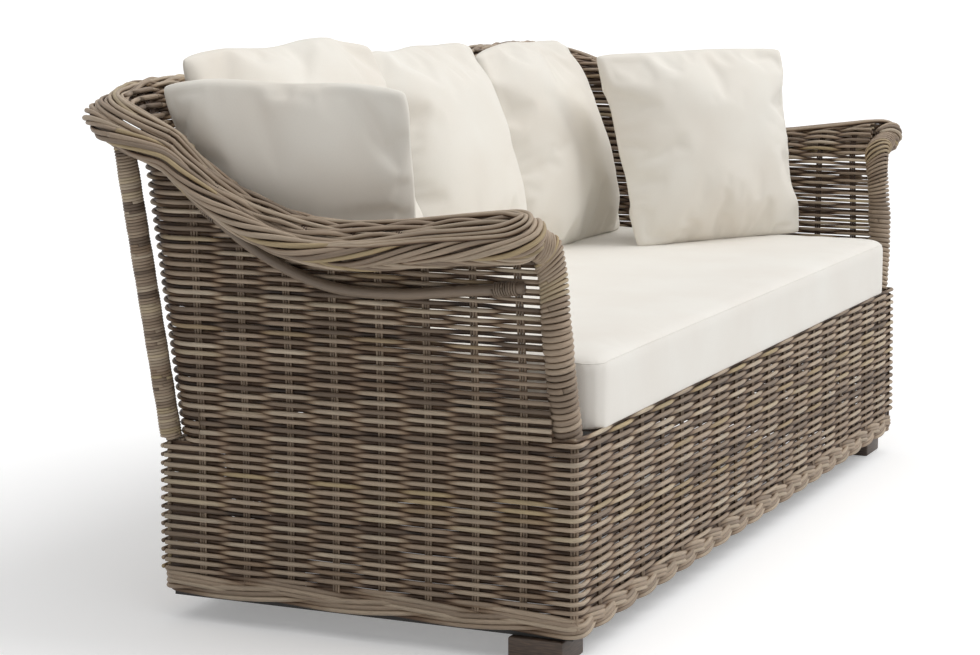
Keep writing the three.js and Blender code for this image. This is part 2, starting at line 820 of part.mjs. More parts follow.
function addPillow(name, shape, lean, turn, x, y) {
  shape.rotateX(-lean).rotateZ(turn).computeBoundingBox();
  shape.translate(x, y, cushionTop + clearance - shape.boundingBox.min.z);
  addPiece(name, shape, canvas);
}

function addBackPillow(name, turn, x, height, topRise, leftReach) {
  const size = { width: backPillowWidth, height, thickness: backPillowThickness, topRise, leftReach };
  addPillow(name, pillow(size), backPillowLean, turn, x, wallY - backPillowRoom);
}

addBackPillow(
  "pillow_back_left",
  backPillowTurn,
  backPillowX - backPillowPitch,
  leftPillowHeight,
  leftPillowTopRise,
  leftPillowTopReach,
);
addBackPillow("pillow_back_middle", 0, backPillowX, middlePillowHeight, middlePillowTopRise);
addBackPillow("pillow_back_right", 0, backPillowX + backPillowPitch, rightPillowHeight, rightPillowTopRise);
addPillow(
  "pillow_side_left",
  pillow({
    width: armPillowWidth,
    height: armPillowHeight,
    thickness: armPillowThickness,
    topRise: armPillowTopRise,
    rightReach: armPillowTopReach,
  }),
  armPillowLean,
  armPillowTurn,
  armPillowRoom - wallX,
  armPillowY,
);
addPillow(
  "pillow_side_right",
  pillow({
    width: cornerPillowWidth,
    height: cornerPillowHeight,
    thickness: cornerPillowThickness,
    drawIn: cornerPillowDrawIn,
    topRise: cornerPillowTopRise,
    leftReach: cornerPillowTopReach,
  }),
  cornerPillowLean,
  cornerPillowTurn,
  wallX - cornerPillowRoom,
  cornerPillowY,
);

// The origin goes under the middle of the whole sofa.
const box = new THREE.Box3().setFromObject(sofa);
const middle = box.getCenter(new THREE.Vector3());
sofa.position.set(-middle.x, -middle.y, 0);
console.log("size", box.getSize(new THREE.Vector3()).toArray().map(Math.round).join(" x "));
console.log("shift", middle.y);

export default sofa;
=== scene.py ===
import math
from types import SimpleNamespace

import bpy
import numpy as np
from mathutils import Matrix, Vector
from mathutils.bvhtree import BVHTree


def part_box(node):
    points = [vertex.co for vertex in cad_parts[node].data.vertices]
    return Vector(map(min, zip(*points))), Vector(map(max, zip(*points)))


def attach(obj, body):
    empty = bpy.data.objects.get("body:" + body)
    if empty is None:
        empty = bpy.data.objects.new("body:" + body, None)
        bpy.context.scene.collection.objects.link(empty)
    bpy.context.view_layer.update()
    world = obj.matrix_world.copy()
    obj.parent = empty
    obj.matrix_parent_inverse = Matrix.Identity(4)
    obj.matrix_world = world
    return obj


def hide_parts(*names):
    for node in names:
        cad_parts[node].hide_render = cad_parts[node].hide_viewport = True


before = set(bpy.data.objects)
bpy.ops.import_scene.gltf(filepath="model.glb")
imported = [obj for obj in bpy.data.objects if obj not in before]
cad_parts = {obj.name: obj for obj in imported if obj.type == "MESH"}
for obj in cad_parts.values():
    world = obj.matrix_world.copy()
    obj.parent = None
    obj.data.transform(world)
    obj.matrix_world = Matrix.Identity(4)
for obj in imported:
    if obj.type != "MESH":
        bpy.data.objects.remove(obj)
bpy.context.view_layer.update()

# Feet: four short blocks of dark stained wood with eased edges, held by a bolt down through the base
# rail. They carry the whole sofa.
FOOT_EDGE = 0.0035


def srgb(code):
    """A colour written as in a web page, as Blender's linear red, green, blue and alpha."""
    channels = [int(code[i : i + 2], 16) / 255 for i in (1, 3, 5)]
    return [c / 12.92 if c <= 0.04045 else ((c + 0.055) / 1.055) ** 2.4 for c in channels] + [1.0]


class Shading:
    """A tree of shader nodes."""

    def __init__(self, tree):
        self.nodes = tree.nodes
        self.links = tree.links

    def add(self, kind, settings=None, **inputs):
        """A new node with its settings and inputs. An input named i and a number goes by its place."""
        node = self.nodes.new(kind)
        for key, value in (settings or {}).items():
            setattr(node, key, value)
        for key, value in inputs.items():
            self.put(value, node.inputs[int(key[1:]) if key[1:].isdigit() else key])
        return node

    def put(self, value, socket):
        if isinstance(value, bpy.types.NodeSocket):
            self.links.new(value, socket)
        else:
            socket.default_value = value

    def sums(self, how, one, other):
        return self.add("ShaderNodeMath", {"operation": how}, i0=one, i1=other).outputs[0]

    def seen(self):
        """1 where the camera looks, straight or by a reflection, and 0 for light that falls on things."""
        paths = self.add("ShaderNodeLightPath").outputs
        return self.sums("MAXIMUM", paths["Is Camera Ray"], paths["Is Glossy Ray"])


class Finish(Shading):
    """A material, which starts as one plain colour."""

    def __init__(self, name, colour, roughness, metallic=0.0):
        self.material = bpy.data.materials.new(name)
        self.material.use_nodes = True
        super().__init__(self.material.node_tree)
        self.shader = self.nodes["Principled BSDF"]
        self.colour(srgb(colour))
        self.rough(roughness)
        self.put(metallic, self.shader.inputs["Metallic"])
        self.material.diffuse_color = srgb(colour)

    def attribute(self, name, output="Fac"):
        return self.add("ShaderNodeAttribute", {"attribute_name": name}).outputs[output]

    def place(self, scale, vector=None):
        """A vector, or else Object coordinates, stretched by scale."""
        if vector is None:
            vector = self.add("ShaderNodeTexCoord").outputs["Object"]
        return self.add("ShaderNodeMapping", Vector=vector, Scale=scale).outputs["Vector"]

    def noise(self, vector, scale, detail=3.0):
        node = self.add("ShaderNodeTexNoise", Vector=vector, Scale=scale, Detail=detail, Roughness=0.55)
        return node.outputs["Fac"]

    def ramp(self, value, stops):
        """Colours, or shares from black to white, at stops along value."""
        node = self.add("ShaderNodeValToRGB", Fac=value)
        elements = node.color_ramp.elements
        while len(elements) < len(stops):
            elements.new(0.5)
        for element, (at, colour) in zip(elements, stops):
            element.position = at
            element.color = srgb(colour) if isinstance(colour, str) else (colour, colour, colour, 1)
        return node.outputs["Color"]

    def blend(self, factor, one, other, how="MIX"):
        """one mixed with other by factor, as colours."""
        mixing = {"data_type": "RGBA", "blend_type": how}
        return self.add("ShaderNodeMix", mixing, i0=factor, i6=one, i7=other).outputs[2]

    def bump(self, height, strength, distance):
        node = self.add("ShaderNodeBump", Height=height, Strength=strength, Distance=distance)
        self.put(node.outputs["Normal"], self.shader.inputs["Normal"])

    def colour(self, value):
        self.put(value, self.shader.inputs["Base Color"])

    def rough(self, value):
        self.put(value, self.shader.inputs["Roughness"])


def wear(piece, finish):
    """Gives a piece one finish all over."""
    piece.data.materials.clear()
    piece.data.materials.append(finish.material)


def fit(piece, finish, slot, body, *nodes):
    """Finishes a piece that rides on a body and stands for nodes."""
    wear(piece, finish)
    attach(piece, body)
    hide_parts(*nodes)


def block(name, middle, size):
    """A box, with its origin left at the world's."""
    bpy.ops.object.select_all(action="DESELECT")
    bpy.ops.mesh.primitive_cube_add(size=1, location=middle, scale=size)
    piece = bpy.context.object
    piece.name = name
    bpy.ops.object.transform_apply(location=True, rotation=True, scale=True)
    return piece


def applied(piece, kind, **settings):
    """Adds a modifier to the active piece and applies it."""
    modifier = piece.modifiers.new(kind, kind)
    for key, value in settings.items():
        setattr(modifier, key, value)
    bpy.ops.object.modifier_apply(modifier=modifier.name)


dark_wood = Finish("dark stained wood", "#43352b", 0.5)
streaks = dark_wood.noise(dark_wood.place((14, 14, 160)), 3.0, 5.0)
dark_wood.colour(dark_wood.ramp(streaks, [(0.3, "#33271f"), (0.5, "#45372d"), (0.72, "#5c4a3c")]))
dark_wood.bump(streaks, 0.25, 0.0008)

for node in ("foot_front_left", "foot_rear_left", "foot_front_right", "foot_rear_right"):
    low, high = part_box(node)
    foot = block(f"wooden_{node}", (low + high) / 2, high - low)
    applied(foot, "BEVEL", width=FOOT_EDGE, segments=3)
    bpy.ops.object.shade_smooth_by_angle(angle=math.radians(35))
    fit(foot, dark_wood, "dark_wood", "sofa_frame", node)

# Base rails: a flat frame of boards painted black, with one board across the middle. The bolts of the
# feet come up through it, zinc plated.
black_paint = Finish("black paint", "#1d1b1a", 0.55)
mottle = black_paint.noise(black_paint.place((20, 20, 20)), 4.0, 4.0)
black_paint.colour(black_paint.ramp(mottle, [(0.3, "#161413"), (0.7, "#2a2725")]))
black_paint.bump(black_paint.noise(black_paint.place((300, 300, 300)), 2.0), 0.1, 0.0004)
zinc = Finish("zinc plated steel", "#a5a5a2", 0.35, 1.0)
zinc.rough(zinc.ramp(zinc.noise(zinc.place((200, 200, 200)), 2.0), [(0.3, 0.28), (0.7, 0.45)]))
for name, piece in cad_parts.items():
    if name.startswith("base_rail"):
        wear(piece, black_paint)
    if name.startswith("foot_bolt"):
        wear(piece, zinc)

# Seat frame: rattan poles with the bark off. Two rails run across, on the front posts and on two uprights
# behind, and seven slats lie over them under the cushion.
pole_cane = Finish("peeled pole", "#7c6b5d", 0.5)
fibres = pole_cane.noise(pole_cane.place((90, 90, 14)), 4.0, 5.0)
pole_cane.colour(pole_cane.ramp(fibres, [(0.25, "#62533f"), (0.5, "#7d6c5c"), (0.8, "#94836f")]))
pole_cane.bump(fibres, 0.2, 0.0006)
for name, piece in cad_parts.items():
    if name.startswith("seat_") and name != "seat_cushion":
        wear(piece, pole_cane)

# Woven base: round rods of unpeeled rattan, weathered grey-brown, woven one by one over and under
# bundles of three thin stakes. Each row runs from one rear corner along the side, the front and the
# other side, and bends tightly round the corners. The rear has rows of its own.
BASE_WIDTH, BASE_DEPTH = 1.865, 0.760
SKIN = 0.013
INSET = SKIN / 2
PLAIT_PROUD, PLAIT_TOP = 0.006, 0.085
FRONT_TOP, REAR_TOP = 0.356, 0.305
BATTER = 0.004
BASE_BEND = 0.011
WEAVE_X = BASE_WIDTH / 2 - PLAIT_PROUD
WEAVE_Y = BASE_DEPTH / 2 - PLAIT_PROUD
BASE_MIDDLE = np.array([0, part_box("base_plait_front")[0].y + BASE_DEPTH / 2, 0])
FIRST_ROW, ROW = 0.002, 0.0073
ROW_END = 0.004
ROD, STAKE = 0.0039, 0.0022
INNER_SWELL, WAVER, WALL_WAVER = 0.22, 0.0007, 0.0008
STAKE_PITCH = 2.05 * STAKE
STAKE_FOOT = 0.055
SWING, SWING_POWER = 0.0059, 0.8
WEAVE_REACH = SWING + ROD
LEAN_IN, FRONT_LEAN_IN = 0.0014, 0.0019
SIDE_STAKES_Y = 0.295 - 0.0818 * np.arange(8)
FRONT_CELLS = REAR_CELLS = 19
CELL_STEPS = 6
# The light reach of rods with no depth given, high enough that no painted shade darkens them.
OPEN_LIGHT_REACH = 0.75
TURN = 6.28
UP, BACKWARD = np.array([0.0, 0.0, 1.0]), np.array([0.0, 1.0, 0.0])


def unit(vectors):
    return vectors / np.linalg.norm(vectors, axis=-1, keepdims=True)


def travelled(line):
    """How far along a line of points each point lies."""
    return np.concatenate([[0], np.cumsum(np.linalg.norm(np.diff(line, axis=0), axis=1))])


def rod_mesh(name, rods, sides=8):
    """One piece of many round rods. A rod is its line of points, its radius, a direction that the line never
    follows, and its tone from 0 to 1. It may have more: outward directions, and how far it lies out from the
    middle of what it is laid in. Each point's light reach follows from these, and the rattan finish uses it
    to paint shade deep in the weave. The grain attribute runs along each rod and round it."""
    turn = 2 * np.pi * np.arange(sides) / sides
    cosines, sines = np.cos(turn)[None, :, None], np.sin(turn)[None, :, None]
    points, faces, tones, grains, light_reaches, count = [], [], [], [], [], 0
    around = np.arange(sides)
    for line, radius, lead, tone, *laid in rods:
        line = np.asarray(line, float)
        rings = len(line)
        ahead = unit(np.gradient(line, axis=0))
        first = unit(np.cross(ahead, lead))
        second = np.cross(ahead, first)
        thick = np.broadcast_to(radius, rings)[:, None, None]
        rim = first[:, None, :] * cosines + second[:, None, :] * sines
        points.append((line[:, None, :] + thick * rim).reshape(-1, 3))
        grain = np.zeros((rings, sides, 3))
        grain[:, :, 0] = (travelled(line) + 17 * tone)[:, None]
        grain[:, :, 1:] = np.concatenate([cosines, sines], 2) * thick
        grains.append(grain.reshape(-1, 3))
        tones.append(np.full(rings * sides, tone))
        if laid:
            outward, out, reach = laid
            # Painted shade: the deeper a point lies in the weave, the lower its light reach, and the finish
            # darkens it by that.
            depth = np.reshape(out, (-1, 1)) + thick[:, :, 0] * np.sum(rim * outward[:, None, :], 2)
            light_reaches.append((np.abs(depth) / reach).ravel())
        else:
            light_reaches.append(np.full(rings * sides, OPEN_LIGHT_REACH))
        ring = np.arange(rings - 1)[:, None] * sides + count
        here, beside = ring + around, ring + (around + 1) % sides
        faces += np.stack([here, beside, beside + sides, here + sides], 2).reshape(-1, 4).tolist()
        last = count + (rings - 1) * sides
        faces.append((count + around[::-1]).tolist())
        faces.append((last + around).tolist())
        count += rings * sides
    mesh = bpy.data.meshes.new(name)
    mesh.from_pydata(np.concatenate(points) + BASE_MIDDLE, [], faces)
    for label, values in (("tone", tones), ("light_reach", light_reaches)):
        data = mesh.attributes.new(label, "FLOAT", "POINT").data
        data.foreach_set("value", np.concatenate(values).astype(np.float32))
    data = mesh.attributes.new("grain", "FLOAT_VECTOR", "POINT").data
    data.foreach_set("vector", np.concatenate(grains).astype(np.float32).ravel())
    mesh.shade_smooth()
    piece = bpy.data.objects.new(name, mesh)
    bpy.context.scene.collection.objects.link(piece)
    return piece


def rattan_finish(name, stops, roughness, bark):
    """Rattan with a tone for each rod, streaks along it, small dark scars, and shade deep in the weave."""
    finish = Finish(name, stops[2][1], roughness)
    base = finish.ramp(finish.attribute("tone"), stops)
    grain = finish.attribute("grain", "Vector")
    slow = finish.noise(finish.place((5, 60, 60), grain), 1.0, 2.0)
    base = finish.blend(0.55, base, finish.ramp(slow, [(0.3, 0.62), (0.5, 1.0), (0.75, 1.25)]), "MULTIPLY")
    fine = finish.noise(finish.place((45, 900, 900), grain), 1.0, 4.0)
    base = finish.blend(bark, base, finish.ramp(fine, [(0.3, 0.5), (0.55, 1.0), (0.8, 1.25)]), "MULTIPLY")
    scars = finish.noise(finish.place((75, 0, 0), grain), 1.0, 1.0)
    scarred = finish.ramp(scars, [(0.0, 0.0), (0.69, 0.0), (0.76, 1.0)])
    base = finish.blend(finish.sums("MULTIPLY", scarred, 0.5), base, srgb("#4a3d32"))
    # Painted shade: the colour darkens towards brown where the light reach is low, deep in the weave, in
    # place of the shade that falls there.
    shades = [(0.0, "#5f4a3b"), (0.2, "#8c7868"), (0.42, "#ddd3c9"), (0.7, "#ffffff")]
    base = finish.blend(1.0, base, finish.ramp(finish.attribute("light_reach"), shades), "MULTIPLY")
    finish.colour(base)
    finish.rough(finish.ramp(fine, [(0.3, roughness - 0.1), (0.7, roughness + 0.15)]))
    finish.bump(finish.sums("SUBTRACT", fine, finish.sums("MULTIPLY", scarred, 0.6)), 0.5, 0.0005)
    return finish


bark_tones = [
    (0.0, "#5c4c3e"), (0.15, "#806f5e"), (0.4, "#a08d79"), (0.62, "#b09f8a"),
    (0.8, "#c0b19c"), (0.9, "#a99672"), (0.96, "#958069"), (1.0, "#7d6a58"),
]
rattan = rattan_finish("weathered rattan", bark_tones, roughness=0.6, bark=0.6)


def woven(name, rods, *nodes, sides=8, finish=rattan, slot="rattan"):
    """A piece of the frame that is made of rods and stands for nodes."""
    fit(rod_mesh(name, rods, sides), finish, slot, "sofa_frame", *nodes)


def row_height(row):
    return PLAIT_TOP + FIRST_ROW + row * ROW


def batter(height):
    """How far the base's sides have leant in at a height."""
    return BATTER * (height - PLAIT_TOP) / (FRONT_TOP - PLAIT_TOP)


def base_top(y):
    """The height of the base's upper edge, which falls to the rear."""
    return (FRONT_TOP + REAR_TOP) / 2 - np.clip(y / WEAVE_Y, -1, 1) * (FRONT_TOP - REAR_TOP) / 2


def base_line(distance):
    """Points and outward directions in the middle of the base's skin, from the left rear corner along the
    left side, the front and the right side, and the distances at which its bends begin and end."""
    half_x, half_y = WEAVE_X - INSET, WEAVE_Y - INSET
    bend, front = BASE_BEND * np.pi / 2, 2 * (half_x - BASE_BEND)
    marks = np.cumsum([2 * half_y - BASE_BEND, bend, front, bend])
    bends_past = sum(np.clip((distance - mark) / bend, 0, 1) for mark in marks[[0, 2]])
    angle = np.pi * (1 + bends_past / 2)
    out = np.stack([np.cos(angle), np.sin(angle), np.zeros_like(angle)], -1)
    x = np.clip(distance - marks[1], 0, front) - half_x + BASE_BEND
    y = half_y - np.minimum(distance, marks[0]) + np.maximum(distance - marks[3], 0)
    return np.stack([x, y, np.zeros_like(x)], -1) + BASE_BEND * out, out, marks


def row_stops(stakes, start, end, extra=()):
    """Distances along a row: even steps between stakes, and closer ones where it bends."""
    steps = np.arange((len(stakes) - 1) * CELL_STEPS + 1) / CELL_STEPS
    cells = np.interp(steps, np.arange(len(stakes)), stakes)
    stops = np.unique(np.round(np.concatenate([cells, [start, end], extra]), 5))
    return stops[(stops > start - 2e-5) & (stops < end + 2e-5)]


def swing(distance, stakes, row):
    """How far out of the skin's middle a row lies: out over one bundle of stakes and in over the next."""
    wave = np.cos(np.pi * (np.interp(distance, stakes, np.arange(len(stakes))) + row))
    return np.sign(wave) * np.abs(wave) ** SWING_POWER


def broken(stops, stakes, row, random):
    """Cuts a row into the lengths of single rods, which end on the inside, behind a bundle of stakes."""
    index = np.interp(stops, stakes, np.arange(len(stakes)))
    inside = np.flatnonzero((np.abs(index - np.round(index)) < 1e-3) & ((np.round(index) + row) % 2 == 1))
    lengths, start = [], 0
    while start < len(stops) - 1:
        wanted = start + int(random.integers(4, 15)) * CELL_STEPS
        later = inside[inside >= wanted]
        more = len(later) and later[0] < len(stops) - 2 * CELL_STEPS
        end = int(later[0]) if more else len(stops) - 1
        lengths.append(stops[max(start - 1, 0) : min(end + 2, len(stops))])
        start = end
    return lengths


def tone_of(random):
    """A rod's tone: mostly middling, now and then olive or reddish."""
    if random.random() < 0.11:
        return float(random.uniform(0.86, 1.0))
    return float(np.clip(random.normal(0.45, 0.22), 0.05, 0.84))


def quiet_tone(random):
    """A tone for the long rods of ropes and bindings, which differ less."""
    if random.random() < 0.06:
        return float(random.uniform(0.84, 0.92))
    return float(np.clip(random.normal(0.42, 0.13), 0.12, 0.8))


def bundle(foot_to_head, along, out, random):
    """Three thin stakes side by side, along a line of points. along is the skin's own direction."""
    rods = []
    for k in (-1, 0, 1):
        line = foot_to_head + along * (k * STAKE_PITCH)
        radius = STAKE * random.uniform(0.92, 1.05)
        away = np.broadcast_to(out, line.shape)
        rods.append((line, radius, out, random.uniform(0.1, 0.5), away, 0.9 * STAKE, 2.8 * STAKE))
    return rods


marks = base_line(np.zeros(1))[2]
base_run = marks[3] + marks[0]
side_stakes = WEAVE_Y - INSET - SIDE_STAKES_Y
front_stakes = np.linspace(marks[0] + 0.006, marks[2] + 0.011, FRONT_CELLS + 1)
base_stakes = np.concatenate([side_stakes, front_stakes, base_run - side_stakes[::-1]])
bends = np.concatenate([np.linspace(marks[i], marks[i + 1], 7) for i in (0, 2)])
random = np.random.default_rng(11)
base_rods = []
for row in range(round((FRONT_TOP - PLAIT_TOP) / ROW) + 1):
    height = row_height(row)
    past_ledge = height > REAR_TOP - 0.002
    ends = (side_stakes[0], base_stakes[-1]) if past_ledge else (ROW_END, base_run - ROW_END)
    wander = random.uniform(0, TURN)
    for length in broken(row_stops(base_stakes, *ends, bends), base_stakes, row, random):
        place, out, _ = base_line(length)
        bow = swing(length, base_stakes, row)
        line = place + out * (SWING * bow - batter(height))[:, None]
        rise = np.where(np.abs(out[:, 1]) > 0.7, FRONT_LEAN_IN, LEAN_IN)
        line[:, 2] = height + WAVER * np.sin(length * 9 + wander) + rise * bow
        radius = ROD * random.uniform(0.92, 1.06) * (1 + INNER_SWELL * np.maximum(-bow, 0))
        base_rods.append((line, radius, UP, tone_of(random), out, SWING * bow, WEAVE_REACH))
stake_heights = np.linspace(STAKE_FOOT, FRONT_TOP - 0.006, 8)
for at in base_stakes:
    place, out, _ = base_line(np.array([at]))
    line = np.repeat(place, len(stake_heights), 0)
    line[:, 2] = stake_heights
    line -= out * batter(stake_heights)[:, None]
    base_rods += bundle(line, np.cross(UP, out[0]), out[0], random)
woven("woven_base", base_rods, "base_weave_front", "base_weave_left", "base_weave_right")

# Rear of the base: the same weave, hung between the rear corners, with rods laid over its top edge as a
# ledge. The back wall stands on that.
LEDGE_RODS, LEDGE_PITCH = 5, 0.0072
rear_rods = []
rear_end = WEAVE_X - 0.008
rear_stakes = np.linspace(-rear_end + 0.02, rear_end - 0.02, REAR_CELLS + 1)
rear_y = WEAVE_Y - INSET
for row in range(int((REAR_TOP - 0.004 - PLAIT_TOP) / ROW) + 1):
    height = row_height(row)
    for length in broken(row_stops(rear_stakes, -rear_end, rear_end), rear_stakes, row, random):
        bow = swing(length, rear_stakes, row)
        line = np.stack([length, rear_y + (SWING * bow - batter(height)), height + LEAN_IN * bow], -1)
        radius = ROD * random.uniform(0.92, 1.06)
        out = np.repeat(BACKWARD[None], len(length), 0)
        rear_rods.append((line, radius, UP, tone_of(random), out, SWING * bow, WEAVE_REACH))
for at in rear_stakes:
    heights = np.linspace(STAKE_FOOT, REAR_TOP - 0.005, 6)
    line = np.stack([np.full_like(heights, at), np.full_like(heights, rear_y - 0.002), heights], -1)
    rear_rods += bundle(line, np.array([1.0, 0, 0]), BACKWARD, random)
for k in range(LEDGE_RODS):
    length = np.linspace(-rear_end + 0.012, rear_end - 0.012, 90)
    height = REAR_TOP - 0.005 + WALL_WAVER * np.sin(length * 30 + k)
    line = np.stack([length, np.full_like(length, WEAVE_Y - 0.012 - k * LEDGE_PITCH), height], -1)
    rear_rods.append((line, ROD, UP, tone_of(random)))
woven("woven_base_rear", rear_rods, "base_weave_rear")

# Foot plait: the stakes' lower ends, gathered into three flat bundles of three rods and plaited along the
# base's lower edge all the way round. The plait is laid longer on the sides.
PLAIT_MIDDLE, PLAIT_INSET = 0.0665, 0.006
PLAIT_WAVE, SIDE_PLAIT_WAVE = 0.285, 0.62
PLAIT_RISE, PLAIT_DEPTH = 0.0092, 0.0046
PLAIT_ROD, PLAIT_SPREAD = 0.0044, 0.1


def round_corner_line(half_x, half_y, radius, step):
    """Points and outward directions once round a rectangle with round corners, from its left rear one."""
    signs = np.array([(-1, 1, 0), (-1, -1, 0), (1, -1, 0), (1, 1, 0)])
    centres = signs * [half_x - radius, half_y - radius, 0]
    places, outs = [], []
    for corner in range(4):
        angles = np.pi * (0.5 + 0.5 * corner + np.linspace(0, 0.5, 9))
        out = np.stack([np.cos(angles), np.sin(angles), np.zeros_like(angles)], -1)
        bend = centres[corner] + radius * out
        side = centres[(corner + 1) % 4] + radius * out[-1] - bend[-1]
        share = np.linspace(0, 1, int(np.linalg.norm(side) / step) + 1)[1:-1, None]
        places += [bend, bend[-1] + side * share]
        outs += [out, np.repeat(out[-1:], len(share), 0)]
    return np.concatenate(places + [places[0][:1]]), np.concatenate(outs + [outs[0][:1]])


places, outs = round_corner_line(WEAVE_X - PLAIT_INSET, WEAVE_Y - PLAIT_INSET, radius=0.022, step=0.009)
places[:, 2] = PLAIT_MIDDLE
steps = np.linalg.norm(np.diff(places, axis=0), axis=1)
waves = np.cumsum(steps * (1 / np.where(np.abs(outs[1:, 0]) > 0.7, SIDE_PLAIT_WAVE, PLAIT_WAVE)))
phase = 2 * np.pi * np.concatenate([[0], waves]) / waves[-1] * round(waves[-1])
plait_rods = []
for strand in range(3):
    for k in (-1, 0, 1):
        angle = phase + 2 * np.pi * strand / 3 + PLAIT_SPREAD * k
        lift = PLAIT_RISE * np.cos(angle) + 1.75 * PLAIT_ROD * k
        reach = PLAIT_DEPTH * np.sin(2 * angle)
        line = places + outs * reach[:, None] + UP * lift[:, None]
        radius = PLAIT_ROD * random.uniform(0.92, 1.08)
        depth, full = reach + 0.6 * PLAIT_DEPTH, 1.6 * PLAIT_DEPTH + PLAIT_ROD
        plait_rods.append((line, radius, outs, quiet_tone(random), outs, depth, full))
woven("foot_plait", plait_rods, "base_plait_front", "base_plait_rear", "base_plait_left", "base_plait_right")

# Woven arms: the sides' stakes go on up, lean out, flare and curl over outwards. The rows run from the
# front post round the rear corner. Near the front the rods are thinner and let light through.
ARM_HEIGHT, BACK_HEIGHT = 0.688, 0.886
WALL_SET_BACK, GAP = 0.014, 0.0003
WALL_X = WEAVE_X - BATTER - INSET
WALL_Y = WEAVE_Y - BATTER - WALL_SET_BACK - INSET
FRONT_POST, FRONT_POST_Y = 0.016, -BASE_DEPTH / 2 + 0.041
BINDING_REACH = 0.0255
WALL_FRONT_Y = FRONT_POST_Y + BINDING_REACH + GAP
CORNER = 0.055
ARM_RUN = WALL_Y - CORNER - WALL_FRONT_Y
CORNER_RUN = CORNER * np.pi / 2
CORNER_END = ARM_RUN + CORNER_RUN
ARM_END = CORNER_END + 0.03
HALF_RUN = CORNER_END + WALL_X - CORNER
WALL_RUN = 2 * HALF_RUN
FLARE_RADIUS, LIP_RADIUS, REAR_LIP_SHARE = 0.085, 0.045, 0.68
FLARE_ANGLE, LIP_ANGLE = math.radians(60), math.radians(145)
ARM_LEAN, BACK_LEAN = math.radians(2.5), math.radians(7)
FRONT_LEAN, FRONT_REACH, FRONT_RUN = 0.020, 0.025, 0.170
RISE_SHARES = np.array([(0, 0.12), (0.06, 0.11), (0.23, 0.06), (0.47, 0), (0.65, 0.056), (0.83, 0.25),
                        (0.95, 0.487), (1.07, 0.86), (1.15, 0.97), (1.22, 1)])
RIM_BAND = 0.058
BACK_CELLS = 21
AIRY_RUN, AIRY_FOOT, AIRY_RISE = 0.3, 0.38, 0.06
THINNING, BACK_SWELL = 0.16, 0.12


def smooth(at, values, slopes, x):
    """The smooth curve through values at at, with their slopes, read off at x."""
    row = np.clip(np.searchsorted(at, x) - 1, 0, len(at) - 2)
    width = at[row + 1] - at[row]
    t = (x - at[row]) / width
    rise = t * t * (3 - 2 * t)
    leaving, arriving = slopes[row] * width * t * (1 - t) ** 2, slopes[row + 1] * width * t * t * (1 - t)
    return values[row] * (1 - rise) + values[row + 1] * rise + leaving - arriving


def rise_share(x):
    """How far the rim has risen from the arm's height to the back's, by the rows of RISE_SHARES."""
    at, values = RISE_SHARES.T
    before, after = np.maximum(np.arange(len(at)) - 1, 0), np.minimum(np.arange(len(at)) + 1, len(at) - 1)
    slopes = (values[after] - values[before]) / (at[after] - at[before])
    return smooth(at, values, slopes, np.clip(x, at[0], at[-1]))


def profile(distance):
    """The wall's section at a distance from the left arm's front end, round the back to the right one's:
    its place, its outward direction, its bends, and the girths at which its straight, flare and lip end."""
    distance = np.asarray(distance, float)
    mirror = np.where(distance > HALF_RUN, -1, 1)
    along = np.where(distance > HALF_RUN, WALL_RUN - distance, distance)
    turn = np.clip((along - ARM_RUN) / CORNER, 0, np.pi / 2)
    out_x, out_y = -np.cos(turn), np.sin(turn)
    x = -WALL_X + CORNER * (1 - np.cos(turn)) + np.maximum(along - ARM_RUN - CORNER_RUN, 0)
    y = np.where(along <= ARM_RUN, WALL_FRONT_Y + along, WALL_Y - CORNER * (1 - np.sin(turn)))
    blend = np.clip((along - ARM_RUN / 2) / (ARM_RUN / 2), 0, 1)
    curl = 1 + (REAR_LIP_SHARE - 1) * blend * blend * (3 - 2 * blend)
    lean = ARM_LEAN + (BACK_LEAN - ARM_LEAN) * out_y
    flare, lip = FLARE_RADIUS * curl, LIP_RADIUS * curl
    flare_run, lip_run = flare * (FLARE_ANGLE - lean), lip * (LIP_ANGLE - FLARE_ANGLE)
    crest = ARM_HEIGHT + (BACK_HEIGHT - ARM_HEIGHT) * rise_share(along / ARM_RUN)
    drop = flare * (math.sin(FLARE_ANGLE) - np.sin(lean)) + lip * (1 - math.sin(FLARE_ANGLE))
    top = crest - INSET - drop
    return SimpleNamespace(
        mirror=mirror, along=along, x=x, y=y, out_x=out_x, out_y=out_y, lean=lean, flare=flare, lip=lip,
        foot=base_top(y), top=top, flare_run=flare_run, lip_run=lip_run, end=top + flare_run + lip_run)


